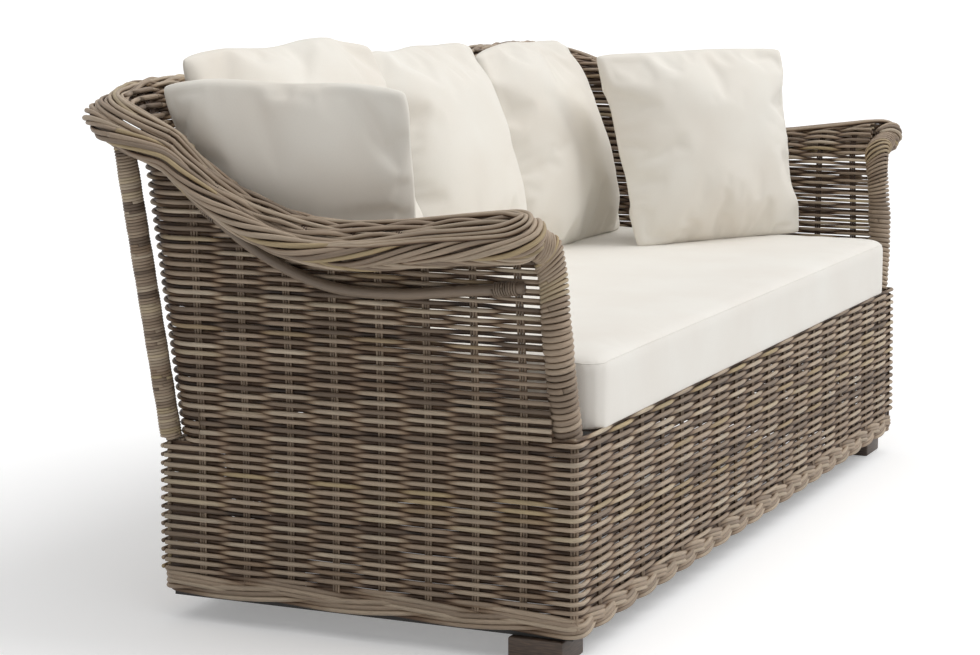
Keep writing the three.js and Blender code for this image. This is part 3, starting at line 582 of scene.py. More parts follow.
def wall(distance, girth, offset=0.0, edge=None):
    """Places on the wall's skin, and its outward directions there. girth is the height up to the flare
    and goes on along the curve. With edge given, it is counted back from the lip's outer edge."""
    p = profile(distance)
    if edge is not None:
        girth = p.end - edge
    curve = np.maximum(girth - p.top, 0)
    in_lip = np.clip(curve - p.flare_run, 0, p.lip_run)
    past_lip = np.maximum(curve - p.flare_run - p.lip_run, 0)
    bent = p.lean + np.minimum(curve, p.flare_run) / p.flare
    curled = FLARE_ANGLE + in_lip / p.lip
    angle = np.where(curve > p.flare_run, curled, bent)
    rise = np.minimum(girth, p.top) - p.foot
    reach = rise * np.tan(p.lean) + p.flare * (np.cos(p.lean) - np.cos(bent))
    reach = reach + p.lip * (math.cos(FLARE_ANGLE) - np.cos(curled))
    reach = reach + past_lip * math.sin(LIP_ANGLE) + offset * np.cos(angle)
    height = p.foot + rise + p.flare * (np.sin(bent) - np.sin(p.lean))
    height = height + p.lip * (np.sin(curled) - math.sin(FLARE_ANGLE))
    height = height + past_lip * math.cos(LIP_ANGLE) - offset * np.sin(angle)
    front = np.maximum(0, 1 - p.along / FRONT_RUN) ** 2
    share = np.maximum(0, height - FRONT_TOP) / (ARM_HEIGHT - FRONT_TOP)
    ahead = FRONT_REACH * np.sin(np.clip(in_lip / p.lip_run, 0, 1) * np.pi / 2)
    y = p.y + p.out_y * reach + front * (FRONT_LEAN * share * share - ahead)
    place = np.stack([(p.x + p.out_x * reach) * p.mirror, y, height], -1)
    outward = [p.out_x * np.cos(angle) * p.mirror, p.out_y * np.cos(angle), -np.sin(angle)]
    return place, np.stack(outward, -1)


arm_stakes = np.sort(SIDE_STAKES_Y) - WALL_FRONT_Y
back_stakes = np.linspace(arm_stakes[-1], WALL_RUN - arm_stakes[-1], BACK_CELLS + 1)[1:-1]
wall_stakes = np.concatenate([arm_stakes, back_stakes, WALL_RUN - arm_stakes[::-1]])


def band_share(distance):
    """The rim's bands lie closer together along the back, where the lip is narrower."""
    return 1 - (1 - REAR_LIP_SHARE) * np.interp(np.minimum(distance, WALL_RUN - distance), [0.3, 0.6], [0, 1])


def wall_rods(start, end, random):
    """The rows of the wall between two distances, each as far as the rim allows, and the stakes."""
    rods = []
    corner = np.linspace(ARM_RUN, CORNER_END, 9)
    stops = row_stops(wall_stakes, start, end, np.concatenate([corner, WALL_RUN - corner]))
    stops = np.unique(np.concatenate([stops, [start, end]]))
    tops = profile(stops).end - RIM_BAND * band_share(stops)
    feet = base_top(wall(stops, np.full_like(stops, 0.4))[0][:, 1])
    at_back = (stops >= arm_stakes[-1] - 1e-6) & (stops <= WALL_RUN - arm_stakes[-1] + 1e-6)
    row = int((REAR_TOP - 0.004 - PLAIT_TOP) / ROW)
    while row_height(row) < tops.max():
        girth = row_height(row)
        inside = girth < tops
        if girth < FRONT_TOP:
            inside = inside & (girth > feet - 0.012) & at_back
        edges = np.flatnonzero(np.diff(np.concatenate([[0], inside.astype(int), [0]])))
        wander = random.uniform(0, TURN)
        for first, last in zip(edges[::2], edges[1::2]):
            if last - first < 4:
                continue
            for length in broken(stops[first:last], wall_stakes, row + 1, random):
                if len(length) < 3:
                    continue
                bow = swing(length, wall_stakes, row + 1)
                near = np.minimum(length, WALL_RUN - length)
                airy = np.clip(1.1 - near / AIRY_RUN, 0, 1) * np.clip((girth - AIRY_FOOT) / AIRY_RISE, 0, 1)
                rise = np.where(length < ARM_RUN, 1 - airy, np.where(length < ARM_END, 1, -0.5))
                level = girth + WALL_WAVER * np.sin(length * 8 + wander) + LEAN_IN * rise * bow
                line, out = wall(length, level, SWING * bow)
                swell = 1 - THINNING * airy + BACK_SWELL * np.maximum(-bow, 0) * (1 - airy)
                radius = ROD * random.uniform(0.94, 1.06) * swell
                rods.append((line, radius, UP, tone_of(random), out, SWING * bow, WEAVE_REACH))
        row += 1
    for at in wall_stakes[(wall_stakes >= start) & (wall_stakes <= end)]:
        top = float(profile(at).end)
        heights = np.concatenate([np.linspace(REAR_TOP if at > ARM_RUN else 0.33, top - 0.17, 8),
                                  np.linspace(top - 0.165, top + 0.006, 22)])
        line, out = wall(np.full_like(heights, at), heights)
        nearby, _ = wall(np.full_like(heights, at + 0.001), heights)
        rods += bundle(line, unit(nearby - line), out, random)
    return rods


random = np.random.default_rng(23)
for side, start, end in (("left", -0.012, ARM_END), ("right", WALL_RUN - ARM_END, WALL_RUN + 0.012)):
    woven(f"woven_arm_{side}", wall_rods(start, end, random), f"arm_weave_{side}")

# Woven back: one length of the same weave between the two rear corners, on the ledge of the base.
woven("woven_back", wall_rods(ARM_END, WALL_RUN - ARM_END, random), "back_weave", sides=6)

# Rim, first part: on top of the curled lip the stakes' ends are caught by open bands, each of two rods
# twined about them, with dark gaps between. The inner band edges the weave all round. At the end of each
# arm three rods loop round from the inner bands to the outer ones.
BANDS = (-0.005, 0.008, 0.021, 0.034, 0.048, 0.060, -0.014)
SLOW_BANDS = (0, 2, 4)
BAND_ROD, BAND_STEP = 0.0039, 0.0075
TWINE_ACROSS, TWINE_ALONG = 0.0052, 0.0042
BAND_DEPTH, BAND_REACH = 0.003, 0.0065
END_CELL = 0.082
# A loop's points: how far from the arm's end and in from the lip's edge each lies, the share of their
# spread that its rods have there, and how high it lies on the skin.
LOOP = np.array([
    (0.42, 0.058, 0, -0.002), (0.30, 0.059, 0.4, 0.004), (0.20, 0.060, 1, 0.008), (0.11, 0.060, 1, 0.010),
    (0.045, 0.057, 1, 0.011), (0.008, 0.050, 1, 0.012), (-0.014, 0.038, 1, 0.012), (-0.022, 0.020, 1, 0.013),
    (-0.016, 0.004, 1, 0.014), (0.012, -0.008, 1, 0.016), (0.06, -0.013, 1, 0.019), (0.14, -0.015, 1, 0.020),
    (0.24, -0.017, 0.6, 0.016), (0.34, -0.019, 0.2, 0.008),
])
LOOP_INNER, INNER_APART, OUTER_APART, END_APART = 7, -0.0074, 0.0070, 0.0068
LOOP_ROD = 0.0040


def broken_line(line, random, shortest=0.45, longest=1.1, step=0.008):
    """Cuts a long line of points into single rods that lie a little past one another."""
    pieces, start = [], 0
    while start < len(line) - 2:
        take = int(random.uniform(shortest, longest) / step)
        end = len(line) if len(line) - start - take < 0.5 * take else start + take
        pieces.append(line[max(start - 1, 0) : end])
        start = end
    return pieces


def resampled(points, step, passes=4):
    """Evenly spaced points along a line, with its corners eased."""
    points = np.asarray(points, float)
    marks = travelled(points)
    at = np.linspace(0, marks[-1], int(marks[-1] / step) + 1)
    line = np.stack([np.interp(at, marks, points[:, i]) for i in range(3)], 1)
    for _ in range(passes):
        line[1:-1] = (line[:-2] + 2 * line[1:-1] + line[2:]) / 4
    return line


band_rods = []
stops = np.arange(-0.004, WALL_RUN + 0.004, BAND_STEP)
index = np.interp(stops, wall_stakes, np.arange(len(wall_stakes)))
index += (np.minimum(stops - wall_stakes[0], 0) + np.maximum(stops - wall_stakes[-1], 0)) / END_CELL
for band, edge in enumerate(BANDS):
    for strand in range(2):
        phase = np.pi * (index * (0.5 if band in SLOW_BANDS else 1) + strand + 0.35 * band)
        edges = edge * band_share(stops) + TWINE_ALONG * np.sin(phase)
        twined = np.concatenate(wall(stops, 0, TWINE_ACROSS * np.cos(phase) - 0.001, edges), 1)
        for part in broken_line(twined, random, step=BAND_STEP):
            line, outward = part[:, :3], part[:, 3:]
            radius = BAND_ROD * random.uniform(0.93, 1.07)
            band_rods.append((line, radius, outward, quiet_tone(random), -outward, BAND_DEPTH, BAND_REACH))
for k in range(3):
    marks, edges, ease, lift = LOOP.T
    apart = np.where(np.arange(len(LOOP)) < LOOP_INNER, INNER_APART, OUTER_APART)
    marks = marks + np.where(marks < 0.03, END_APART * k, 0)
    edges = edges + apart * k * ease + random.normal(0, 0.0011, len(LOOP))
    line = wall(np.maximum(marks, 0), 0, -lift + random.normal(0, 0.0008, len(LOOP)), edges)[0]
    line[:, 1] += np.minimum(marks, 0)
    line = resampled(line, step=0.006, passes=6)
    for flip in (1, -1):
        radius = LOOP_ROD * random.uniform(0.95, 1.06)
        ups = np.repeat(UP[None], len(line), 0)
        band_rods.append((line * [flip, 1, 1], radius, UP, quiet_tone(random), ups, BAND_DEPTH, BAND_REACH))
woven("rim_bands", band_rods, "arm_weave_left", "arm_weave_right", "back_weave")

# Rim, second part: a thick rope of nine rods, laid in threes, closes the lip's outer edge and bends round
# the front end of each arm. A darker rope of thinner rods lies under it and hides the stakes' cut ends.
ROPE_STEP = 0.008
LIP_RUN = LIP_RADIUS * (LIP_ANGLE - FLARE_ANGLE)
ROPE_GAP = 0.0203
STRANDS, STRAND_SPREAD, STRAND_SHIFT = 3, 0.94, 2.1
ROUNDING, LOOSENESS = 0.0007, 0.0011


def rope(line, radius, twist, rod, random, phase=0.0, sink=0.0):
    """Three strands of three rods laid round a line. radius is the line's own at each point, twist is the
    length in which the rope turns once, and sink is how far each strand dips under its neighbours."""
    ahead = unit(np.gradient(line, axis=0))
    side = unit(UP - ahead * np.sum(UP * ahead, 1, keepdims=True))
    other = np.cross(ahead, side)
    along = travelled(line)
    rods = []
    for strand in range(STRANDS):
        for k in (-1.0, 0.0, 1.0):
            angle = phase + 2 * np.pi * (along / twist + (strand + k / 3 * STRAND_SPREAD) / STRANDS)
            sway = random.uniform(0.05, 0.13)
            angle += sway * np.sin(along * random.uniform(9, 22) + random.uniform(0, TURN))
            dip = sink * np.cos(2 * np.pi * along / (twist / 2) + STRAND_SHIFT * strand)
            wave = radius - dip - ROUNDING * abs(k)
            wave = wave + LOOSENESS * np.sin(along * random.uniform(14, 34) + random.uniform(0, TURN))
            away = side * np.cos(angle)[:, None] + other * np.sin(angle)[:, None]
            path = line + wave[:, None] * away
            for part in broken_line(np.concatenate([path, side, away], 1), random, 0.7, 1.6):
                thick = rod * random.uniform(0.92, 1.08)
                rods.append((part[:, :3], thick, part[:, 3:6], quiet_tone(random), part[:, 6:], 0.75 * rod,
                             1.8 * rod))
    return rods


def two_ropes(line, radius, twist, rod, core, random, **lay):
    """Ropes that turn opposite ways and meet at the middle of the back, round a core rod in the darkest tone,
    which paints the shade inside the rope.
    """
    half = len(line) // 2
    rods = rope(line[: half + 1], radius[: half + 1], twist, rod, random, **lay)
    rods += rope(line[half:], radius[half:], -twist, rod, random, **lay)
    # The core's tone 0.0 is painted shade: the darkest rattan tone, seen through the gaps between the
    # strands.
    return rods + [(line[2:-2], core, UP, 0.0)]


def rim_line(across, down):
    """The rope's line from the front end of the left arm round to the right one's, moved by across
    outwards and by down."""
    shares = np.linspace(0, 1, 9)
    front = wall(np.zeros(9), 0, 0.012 * (1 - shares), LIP_RUN * (1 - shares))[0] - [0, ROPE_GAP, 0]
    corner, _ = wall(np.zeros(1), 0, 0, np.zeros(1))
    turning = unit(np.array([-math.sin(LIP_ANGLE), -1, math.cos(LIP_ANGLE)]))
    marks = np.linspace(0.012, HALF_RUN, 180)
    side, _ = wall(marks, 0, 0, np.full_like(marks, -ROPE_GAP))
    p = profile(marks)
    side = side + np.stack([p.out_x * across, p.out_y * across, np.full_like(marks, -down)], 1)
    shift = np.array([-across, 0, -down]) * shares[:, None]
    left = np.concatenate([front + shift, corner + ROPE_GAP * turning + shift[-1], side])
    return resampled(np.concatenate([left, (left * [-1, 1, 1])[-2::-1]]), ROPE_STEP)


def rim_size(line, front, rear):
    """A radius along the rim line: front on the arms, rear on the back, tapered at both ends."""
    marks = np.linspace(0, 1, len(line))
    along = np.minimum(marks, 1 - marks) * len(line) * ROPE_STEP
    return np.interp(along, [0, 0.05, 0.12, 0.45, 0.8], [front * 0.6, front, front, front, rear])


top_line, under_line = rim_line(across=0, down=0), rim_line(across=-0.012, down=0.014)
top_size = rim_size(top_line, front=0.0150, rear=0.0140)
under_size = rim_size(under_line, front=0.0102, rear=0.0100)
rim_rods = two_ropes(top_line, top_size, twist=-0.42, rod=0.0042, core=0.0098, random=random, sink=0.0020)
rim_rods += two_ropes(under_line, under_size, twist=0.33, rod=0.0036, core=0.0066, random=random, phase=1.0)
woven("rim_rope", rim_rods, "rim_braid_left", "rim_braid_right", "rim_braid_back")

# Front posts: a pole at the front end of each arm, standing on the base rail. It bends outwards under
# the lip and is bound close from the base up to the rim with one rod after another.
WRAP_PITCH, HEAD_PITCH = 0.0102, 0.0072
WRAP_ROD_SHARE, WRAP_REACH = 0.49, 0.0035
POST_STEP_IN, POST_TIP = 0.026, 0.012
RAIL_TOP = 0.0653
POLE_TONE = 0.35


def smooth_line(points, step):
    """A smooth line through points, evenly spaced."""
    points = np.asarray(points, float)
    marks = travelled(points)
    slopes = np.gradient(points, marks, axis=0)
    at = np.linspace(0, marks[-1], 12 * len(points))
    line = np.stack([smooth(marks, points[:, i], slopes[:, i], at) for i in range(3)], 1)
    return resampled(line, step, passes=1)


def wrapping(line, lead, radius, pitch, rod, random, per_turn=18, shortest=1, longest=4, tilt=0.0,
             tones=quiet_tone):
    """Turns of rod wound close round a line, a few turns to each rod. With tilt each turn rises from the
    side away from lead's direction to the side towards it."""
    marks = travelled(line)
    pitch = np.broadcast_to(pitch, marks.shape)
    turned = np.concatenate([[0], np.cumsum(np.diff(marks) / pitch[1:])])
    at = np.interp(np.linspace(0, turned[-1], int(turned[-1] * per_turn)), turned, marks)

    def along(values):
        return np.interp(at, marks, np.broadcast_to(values, marks.shape))

    path = np.stack([along(line[:, i]) for i in range(3)], 1)
    ahead = unit(np.gradient(path, axis=0))
    first = unit(np.cross(ahead, lead))
    second = np.cross(ahead, first)
    angle = 2 * np.pi * along(turned)
    thick = along(rod)
    swell = 1 + 0.02 * np.sin(at * 90)[:, None]
    away = first * np.cos(angle)[:, None] + second * np.sin(angle)[:, None]
    slant = ahead * along(tilt)[:, None] * np.sum(away * lead, 1, keepdims=True)
    coil = path + along(radius)[:, None] * swell * (away + slant)
    rods, start = [], 0
    while start < len(coil) - 3:
        end = min(start + int(random.uniform(shortest, longest) * per_turn), len(coil))
        part = slice(max(start - 1, 0), end)
        size = thick[part] * random.uniform(0.92, 1.06)
        rods.append((coil[part], size, ahead[part], tones(random), away[part], 0.6 * thick[part],
                     1.6 * thick.max()))
        start = end
    return rods


def mirrored(rods):
    flip = np.array([-1, 1, 1])
    return [(line * flip, radius, lead * flip, tone, *(laid and (laid[0] * flip, *laid[1:])))
            for line, radius, lead, tone, *laid in rods]


def pair(name, rods_of, *nodes, **more):
    """A piece at the left and one at the right, mirrored, each with rods of its own."""
    for side in ("left", "right"):
        rods = rods_of() if side == "left" else mirrored(rods_of())
        woven(f"{name}_{side}", rods, *(f"{node}_{side}" for node in nodes), **more)


arm_front = profile(0.0)
foot, top, flare_run = arm_front.foot, arm_front.top, arm_front.flare_run
post_shares = [(foot, 1), (foot + 0.3 * (top - foot), 0.35), (foot + 0.65 * (top - foot), 0), (top, 0),
               (top + 0.3 * flare_run, -0.2), (top + 0.6 * flare_run, -0.8)]
post_ahead = [0, BINDING_REACH + GAP, 0]
post_points = [wall(0.0, girth, -POST_STEP_IN * inside)[0] - post_ahead for girth, inside in post_shares]
post_curve = smooth_line(post_points, step=0.004)
post_tip = post_curve[-1:] + unit(post_curve[-1:] - post_curve[-3:-2]) * POST_TIP
post_curve = np.concatenate([post_curve, post_tip])
post_foot = [[*post_points[0][:2], z] for z in np.linspace(RAIL_TOP + GAP, foot - 0.01, 12)]
post_line = np.concatenate([post_foot, post_curve])
bound_line = post_curve[2:]
bound_shares = np.linspace(0, 1, len(bound_line))
bound_pitch = np.interp(bound_shares, [0, 0.45, 0.75, 1], [WRAP_PITCH, WRAP_PITCH, HEAD_PITCH, HEAD_PITCH])
bound_fan = np.interp(bound_shares, [0, 0.55, 0.8, 1], [0, 0, -0.55, -1.1])
bound_radius = FRONT_POST + WRAP_REACH + np.interp(bound_shares, [0, 0.7, 1], [0, 0, 0.004])


def front_post():
    turns = wrapping(bound_line, BACKWARD, bound_radius, bound_pitch, WRAP_ROD_SHARE * bound_pitch, random,
                     tilt=bound_fan)
    return [(post_line, FRONT_POST, BACKWARD, POLE_TONE)] + turns


pair("bound_front_post", front_post, "front_post", "front_post_binding")

# Rear posts: a pole outside each rear corner, on the base's ledge, leaning out to the rim. It is bound
# with thinner rods of two tones.
REAR_POST = 0.0125
THIN_ROD, THIN_PITCH, THIN_REACH = 0.0027, 0.0050, REAR_POST + 0.0032
POST_INSET, POST_SET_BACK = 0.020, 0.014
POST_FLARE, POST_DROP = 0.050, 0.054
ledge = base_top(WEAVE_Y - POST_SET_BACK - REAR_POST)
crest = ARM_HEIGHT + (BACK_HEIGHT - ARM_HEIGHT) * float(rise_share((ARM_RUN + CORNER_RUN / 2) / ARM_RUN))
rear_foot = np.array([-WEAVE_X + POST_INSET, WEAVE_Y - POST_SET_BACK, ledge])
rear_head = np.array([rear_foot[0] - POST_FLARE, rear_foot[1] + POST_FLARE, crest - POST_DROP])
rear_line = rear_foot + (rear_head - rear_foot) * np.linspace(0, 1, 60)[:, None]


def rear_post():
    turns = wrapping(rear_line, BACKWARD, THIN_REACH, THIN_PITCH, THIN_ROD, random, per_turn=14,
                     shortest=0.8, longest=2.5, tones=tone_of)
    return [(rear_line, REAR_POST, BACKWARD, POLE_TONE)] + turns


pair("bound_rear_post", rear_post, "rear_post", "rear_post_binding", sides=7)

# Arm canes: a thicker cane with its bark off runs under each arm's lip, from the front post to the rear.
# Its ends are bound to the weave with a few turns of thin rod.
CANE, CANE_DROP = 0.009, 0.033
cane_tones = [(0.0, "#6e5f51"), (0.3, "#776858"), (0.5, "#7f6f5f"), (1.0, "#8a7a69")]
cane_finish = rattan_finish("peeled cane", cane_tones, roughness=0.5, bark=0.4)
cane_out = INSET + CANE * math.cos(math.pi / 8) + GAP
cane_marks = [share * ARM_RUN for share in (0.03, 0.2, 0.4, 0.6, 0.8, 0.97)]
cane_points = [wall(at, float(profile(at).top) - CANE_DROP, cane_out)[0] for at in cane_marks]
cane_line = smooth_line(cane_points, step=0.01)


def arm_cane():
    rods = [(cane_line, CANE, UP, 0.5)]
    for end in (cane_line[1:6], cane_line[-5:-1]):
        rods += wrapping(end, UP, CANE + 0.0012, pitch=0.0042, rod=0.0018, random=random, per_turn=14)
    return rods


pair("smooth_arm_cane", arm_cane, "arm_cane", sides=12, finish=cane_finish, slot="bare_cane")

# Seat cushion: one long box cushion in off-white cotton canvas over foam and wadding, with a seam round
# its top edge. It lies loose on the slats, between the arms.
CUSHION_FILLING, CUSHION_CORNER, CUSHION_EDGE = Vector((0.010, 0.010, 0.012)), 0.042, 0.014
CUSHION_FLAT, CUSHION_CROWN, CUSHION_PAST = 0.009, 0.004, 0.004
CUSHION_CELL, SEAM_ROD, SEAM_DROP = 0.009, 0.0009, 0.004


def canvas_finish(name, base, darker, lighter):
    """Plain-woven cotton: warp and weft, slubs and a faint unevenness of tone."""
    canvas = Finish(name, base, 0.85)
    threads = canvas.place((1, 1, 1))
    warps, wefts = (
        canvas.add("ShaderNodeTexWave", {"bands_direction": way}, Vector=threads, Scale=320.0, Distortion=0.4)
        for way in ("Z", "X"))
    slubs = canvas.noise(canvas.place((40, 40, 40)), 12.0, 4.0)
    patches = canvas.noise(canvas.place((3, 3, 3)), 1.5, 3.0)
    cloth = canvas.sums("ADD", canvas.sums("MULTIPLY", wefts.outputs["Fac"], warps.outputs["Fac"]), slubs)
    tint = canvas.ramp(patches, [(0.3, darker), (0.7, lighter)])
    canvas.colour(canvas.blend(0.12, tint, canvas.ramp(slubs, [(0.35, 0.85), (0.65, 1.0)]), "MULTIPLY"))
    canvas.bump(cloth, 0.12, 0.0004)
    canvas.shader.inputs["Sheen Weight"].default_value = 0.15
    canvas.shader.inputs["Sheen Roughness"].default_value = 0.4
    return canvas


def bevel_edges(piece, wanted, width, segments):
    """Rounds the edges for which wanted, given the edge's two ends, is true."""
    bpy.ops.object.mode_set(mode="EDIT")
    bpy.ops.mesh.select_mode(type="EDGE")
    bpy.ops.mesh.select_all(action="DESELECT")
    bpy.ops.object.mode_set(mode="OBJECT")
    points = piece.data.vertices
    for edge in piece.data.edges:
        edge.select = bool(wanted(*(points[i].co for i in edge.vertices)))
    bpy.ops.object.mode_set(mode="EDIT")
    bpy.ops.mesh.bevel(offset=width, offset_type="OFFSET", segments=segments, affect="EDGES")
    bpy.ops.object.mode_set(mode="OBJECT")


def points_of(piece):
    points = np.empty(len(piece.data.vertices) * 3)
    piece.data.vertices.foreach_get("co", points)
    return points.reshape(-1, 3)


def set_points(piece, points):
    piece.data.vertices.foreach_set("co", np.ascontiguousarray(points, float).ravel())
    piece.data.update()


def inflated(piece, pressure, cap, frames=20, stiff=15.0, slack=0.0, held=""):
    """The points of a cover when it is filled: cloth under pressure, without gravity. No point moves
    further than cap, slack is the share by which the cover is larger than its filling, and the vertex
    group held stays where it is."""
    bpy.ops.object.select_all(action="DESELECT")
    piece.select_set(True)
    bpy.context.view_layer.objects.active = piece
    before = points_of(piece)
    fabric = piece.modifiers.new("filling", "CLOTH")
    cloth = {
        "quality": 6, "mass": 0.3, "tension_stiffness": stiff, "compression_stiffness": stiff,
        "shear_stiffness": stiff / 3, "bending_stiffness": 1.0, "shrink_min": -slack,
        "vertex_group_mass": held, "use_pressure": True, "uniform_pressure_force": pressure,
    }
    for key, value in cloth.items():
        setattr(fabric.settings, key, value)
    fabric.settings.effector_weights.gravity = 0
    fabric.collision_settings.use_self_collision = False
    fabric.point_cache.frame_end = frames
    for number in range(1, frames + 1):
        bpy.context.scene.frame_set(number)
    bpy.ops.object.modifier_apply(modifier=fabric.name)
    bpy.context.scene.frame_set(1)
    move = points_of(piece) - before
    length = np.linalg.norm(move, axis=1, keepdims=True)
    return before + move * np.minimum(1, cap / np.maximum(length, 1e-9))


def finer(piece):
    """A cover's cells split once more and shaded smooth."""
    applied(piece, "SUBSURF", levels=1, render_levels=1)
    bpy.ops.object.shade_smooth()


cushion_canvas = canvas_finish("off-white canvas", "#ebe7df", "#e6e1d9", "#ebe8e1")
low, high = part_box("seat_cushion")
middle = (low + high) / 2
cushion = block("seat_cushion_cover", middle, (high - low) - CUSHION_FILLING)
bevel_edges(cushion, lambda a, b: abs(a.z - b.z) > 0.02, CUSHION_CORNER, segments=6)
bevel_edges(cushion, lambda a, b: min(a.z, b.z) > middle.z and abs(a.z - b.z) < 1e-5, CUSHION_EDGE,
            segments=3)
applied(cushion, "REMESH", mode="VOXEL", voxel_size=CUSHION_CELL, use_smooth_shade=True)
filled = inflated(cushion, pressure=4.0, cap=0.006)
low, high = np.array(low), np.array(high)
shares = (filled - low) / (high - low)
filled[:, 2] = np.maximum(filled[:, 2] - CUSHION_FLAT * (1 - shares[:, 2]), low[2])
x_fade, y_fade = (np.clip(np.abs(shares[:, i] * 2 - 1), 0, 1) ** power for i, power in ((0, 6), (1, 4)))
filled[:, 2] += CUSHION_CROWN * ((1 - x_fade) * (1 - y_fade)) * (shares[:, 2] > 0.6)
set_points(cushion, np.clip(filled, low - CUSHION_PAST, high + CUSHION_PAST))
finer(cushion)

corners, cells = [p.co for p in cushion.data.vertices], [tuple(f.vertices) for f in cushion.data.polygons]
surface = BVHTree.FromPolygons(corners, cells)
seam_line, _ = round_corner_line((high[0] - low[0]) / 2, (high[1] - low[1]) / 2, radius=0.04, step=0.012)
seam_line = seam_line + [0, (low[1] + high[1]) / 2, high[2] - SEAM_DROP]
seam_line = np.array([surface.find_nearest(Vector(point))[0] for point in seam_line]) - BASE_MIDDLE
seams = rod_mesh("cushion_seams", [(seam_line, SEAM_ROD, UP, 0.5)], 6)
for piece in (cushion, seams):
    fit(piece, cushion_canvas, "canvas", "seat_cushion", "seat_cushion")

# Loose pillows: two squares of the same canvas sewn face to face with a plain knife edge, turned and
# filled with feathers. Three lean on the back, and one stands in each corner by an arm.
CUSHION_TOP = float(high[2])
PILLOW_CELLS = 44
HALF_SEAM, SIT, SAG = 0.003, 0.006, -0.006
RIPPLE, DENT, BLUNT = 0.012, 0.0022, 0.010
RIPPLES = 14
back_row = WALL_Y - 0.0795
# Each pillow's width, height, thickness, draw-in of its sides, rise of its top, reach of its upper corners
# to the left and to the right, lean and turn in degrees, place, and seed.
pillows = {
    "pillow_back_left": (0.500, 0.478, 0.190, 0.008, 0.008, 0.060, 0, 18, -8, (-0.528, back_row), 3),
    "pillow_back_middle": (0.500, 0.460, 0.190, 0.008, 0, 0, 0, 18, 0, (-0.012, back_row), 4),
    "pillow_back_right": (0.500, 0.436, 0.190, 0.008, 0.012, 0, 0, 18, 0, (0.504, back_row), 5),
    "pillow_side_left": (0.348, 0.430, 0.136, 0.008, 0.004, 0, 0.096, 13, 94, (0.063 - WALL_X, 0.104), 6),
    "pillow_side_right": (0.468, 0.418, 0.166, 0.016, -0.004, 0.064, 0, 10, -30, (WALL_X - 0.249, -0.034), 7),
}


def cover(width, height, thickness, drawn_in, rise, random):
    """The unfilled cover: two rippled and dented faces that meet in a blunt-cornered seam."""
    bpy.ops.object.select_all(action="DESELECT")
    bpy.ops.mesh.primitive_grid_add(x_subdivisions=PILLOW_CELLS, y_subdivisions=PILLOW_CELLS, size=1)
    piece = bpy.context.object
    applied(piece, "SOLIDIFY", thickness=0.01, offset=0)
    u, v, face = points_of(piece).T * [[2], [2], [1]]
    face = np.sign(face)
    crown = np.sqrt(np.maximum(0, (1 - u**4) * (1 - v**4))) * (1 - 0.25 * (u * u + v * v))
    dents, across_ripple, up_ripple = np.zeros((3, len(u)))
    for _ in range(RIPPLES):
        push, pull, start = random.uniform(2, 8), random.uniform(-8, 8), random.uniform(0, TURN)
        dents += np.cos(push * u + pull * v + start + face)
        across_ripple += np.cos(pull * v + start) / RIPPLES
        up_ripple += np.cos(push * u + start) / RIPPLES
    across = u * (width / 2 - drawn_in * (1 - v * v)) + RIPPLE * u**3 * across_ripple * (1 - v * v)
    up = v * height / 2 + v * np.where(v < 0, SAG, rise) * (1 - u * u)
    up += RIPPLE * v**3 * up_ripple * (1 - u * u)
    blunt = BLUNT * (u * v) ** 6
    depth = -face * (HALF_SEAM + crown * thickness / 2 * 0.8) + DENT * dents * crown
    set_points(piece, np.stack([across - u * blunt, depth, up - v * blunt], 1))
    seam = piece.vertex_groups.new(name="seam")
    seam.add([int(i) for i in np.flatnonzero(np.maximum(abs(u), abs(v)) > 0.999)], 1.0, "REPLACE")
    return piece


pillow_canvas = canvas_finish("cream canvas", "#ebe6dc", "#e7e0d5", "#ece8df")
for name, (width, height, thickness, drawn_in, rise, left, right, lean, turn, place, seed) in pillows.items():
    pillow = cover(width, height, thickness, drawn_in, rise, np.random.default_rng(seed))
    pillow.name = f"{name}_cover"
    filled = inflated(pillow, pressure=2.5, cap=0.07, frames=25, stiff=30.0, slack=0.055, held="seam")
    rear, front = filled[:, 1].max(), filled[:, 1].min()
    filled[:, 1] = (filled[:, 1] - (rear + front) / 2) * thickness / (rear - front)
    beside, above = filled[:, 0] / width * 2, filled[:, 2] / height * 2
    filled[:, 0] += (1 + above) * ((1 + beside) * right - (1 - beside) * left) / 4
    spin = Matrix.Rotation(math.radians(turn), 3, "Z") @ Matrix.Rotation(math.radians(-lean), 3, "X")
    filled = filled @ np.array(spin).T
    filled[:, 2] = np.maximum(filled[:, 2] - filled[:, 2].min() - SIT, 0) + CUSHION_TOP + GAP
    filled[:, :2] += np.array(place) + BASE_MIDDLE[:2]
    set_points(pillow, filled)
    finer(pillow)
    fit(pillow, pillow_canvas, "canvas", name, name)

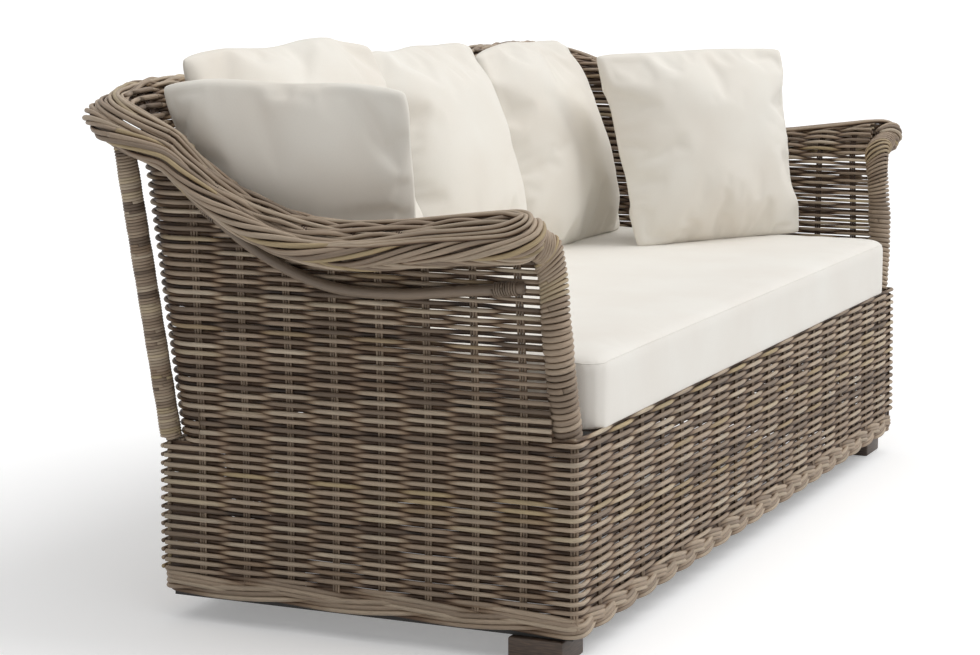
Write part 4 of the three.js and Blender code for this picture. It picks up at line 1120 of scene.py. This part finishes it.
# Studio: a pale floor that runs out of sight, plain soft light from above and from the front right, and
# the camera at the photograph's place.
PHOTO_WIDTH, FOCAL_PIXELS = 980, 2550
bpy.ops.object.select_all(action="DESELECT")
bpy.ops.mesh.primitive_plane_add(size=160, location=(0, 0, 0))
floor = bpy.context.object
floor.name = "studio_floor"
pale = Finish("studio floor", "#f2f2f2", 0.9)
glow = pale.add("ShaderNodeEmission", Color=(1, 1, 1, 1), Strength=pale.sums("MULTIPLY", pale.seen(), 0.25))
both = pale.add("ShaderNodeAddShader", i0=pale.shader.outputs[0], i1=glow.outputs[0])
pale.put(both.outputs[0], pale.nodes["Material Output"].inputs["Surface"])
pale.shader.inputs["Specular IOR Level"].default_value = 0.0
wear(floor, pale)

world = bpy.data.worlds.new("studio")
bpy.context.scene.world = world
world.use_nodes = True
sky = Shading(world.node_tree)
background = sky.nodes["Background"].inputs
sky.put((1, 1, 1, 1), background["Color"])
sky.put(sky.add("ShaderNodeMix", i0=sky.seen(), i2=0.32, i3=1.0).outputs[0], background["Strength"])


def soft_light(name, toward, strength, spread):
    """A soft lamp as far off as the sun, shining along toward."""
    lamp = bpy.data.lights.new(name, "SUN")
    lamp.energy = strength
    lamp.angle = math.radians(spread)
    light = bpy.data.objects.new(name, lamp)
    light.rotation_euler = Vector(toward).to_track_quat("-Z", "Y").to_euler()
    bpy.context.scene.collection.objects.link(light)


soft_light("overhead", (0.12, 0.1, -1), strength=1.05, spread=90)
soft_light("key", (-0.42, 0.62, -0.75), strength=1.5, spread=45)

view = bpy.data.cameras.new("photograph")
view.sensor_width = 36
view.lens = FOCAL_PIXELS / PHOTO_WIDTH * 36
camera = bpy.data.objects.new("photograph", view)
camera.location = (-4.473148, -1.78929768 - 0.06500897, 1.1359162)
azimuth, pitch = math.radians(23.820292809), math.radians(8.905910245)
aim = Vector((math.cos(azimuth) * math.cos(pitch), math.sin(azimuth) * math.cos(pitch), -math.sin(pitch)))
camera.rotation_euler = aim.to_track_quat("-Z", "Y").to_euler()
bpy.context.scene.collection.objects.link(camera)
bpy.context.scene.camera = camera
bpy.context.scene.view_settings.view_transform = "Standard"
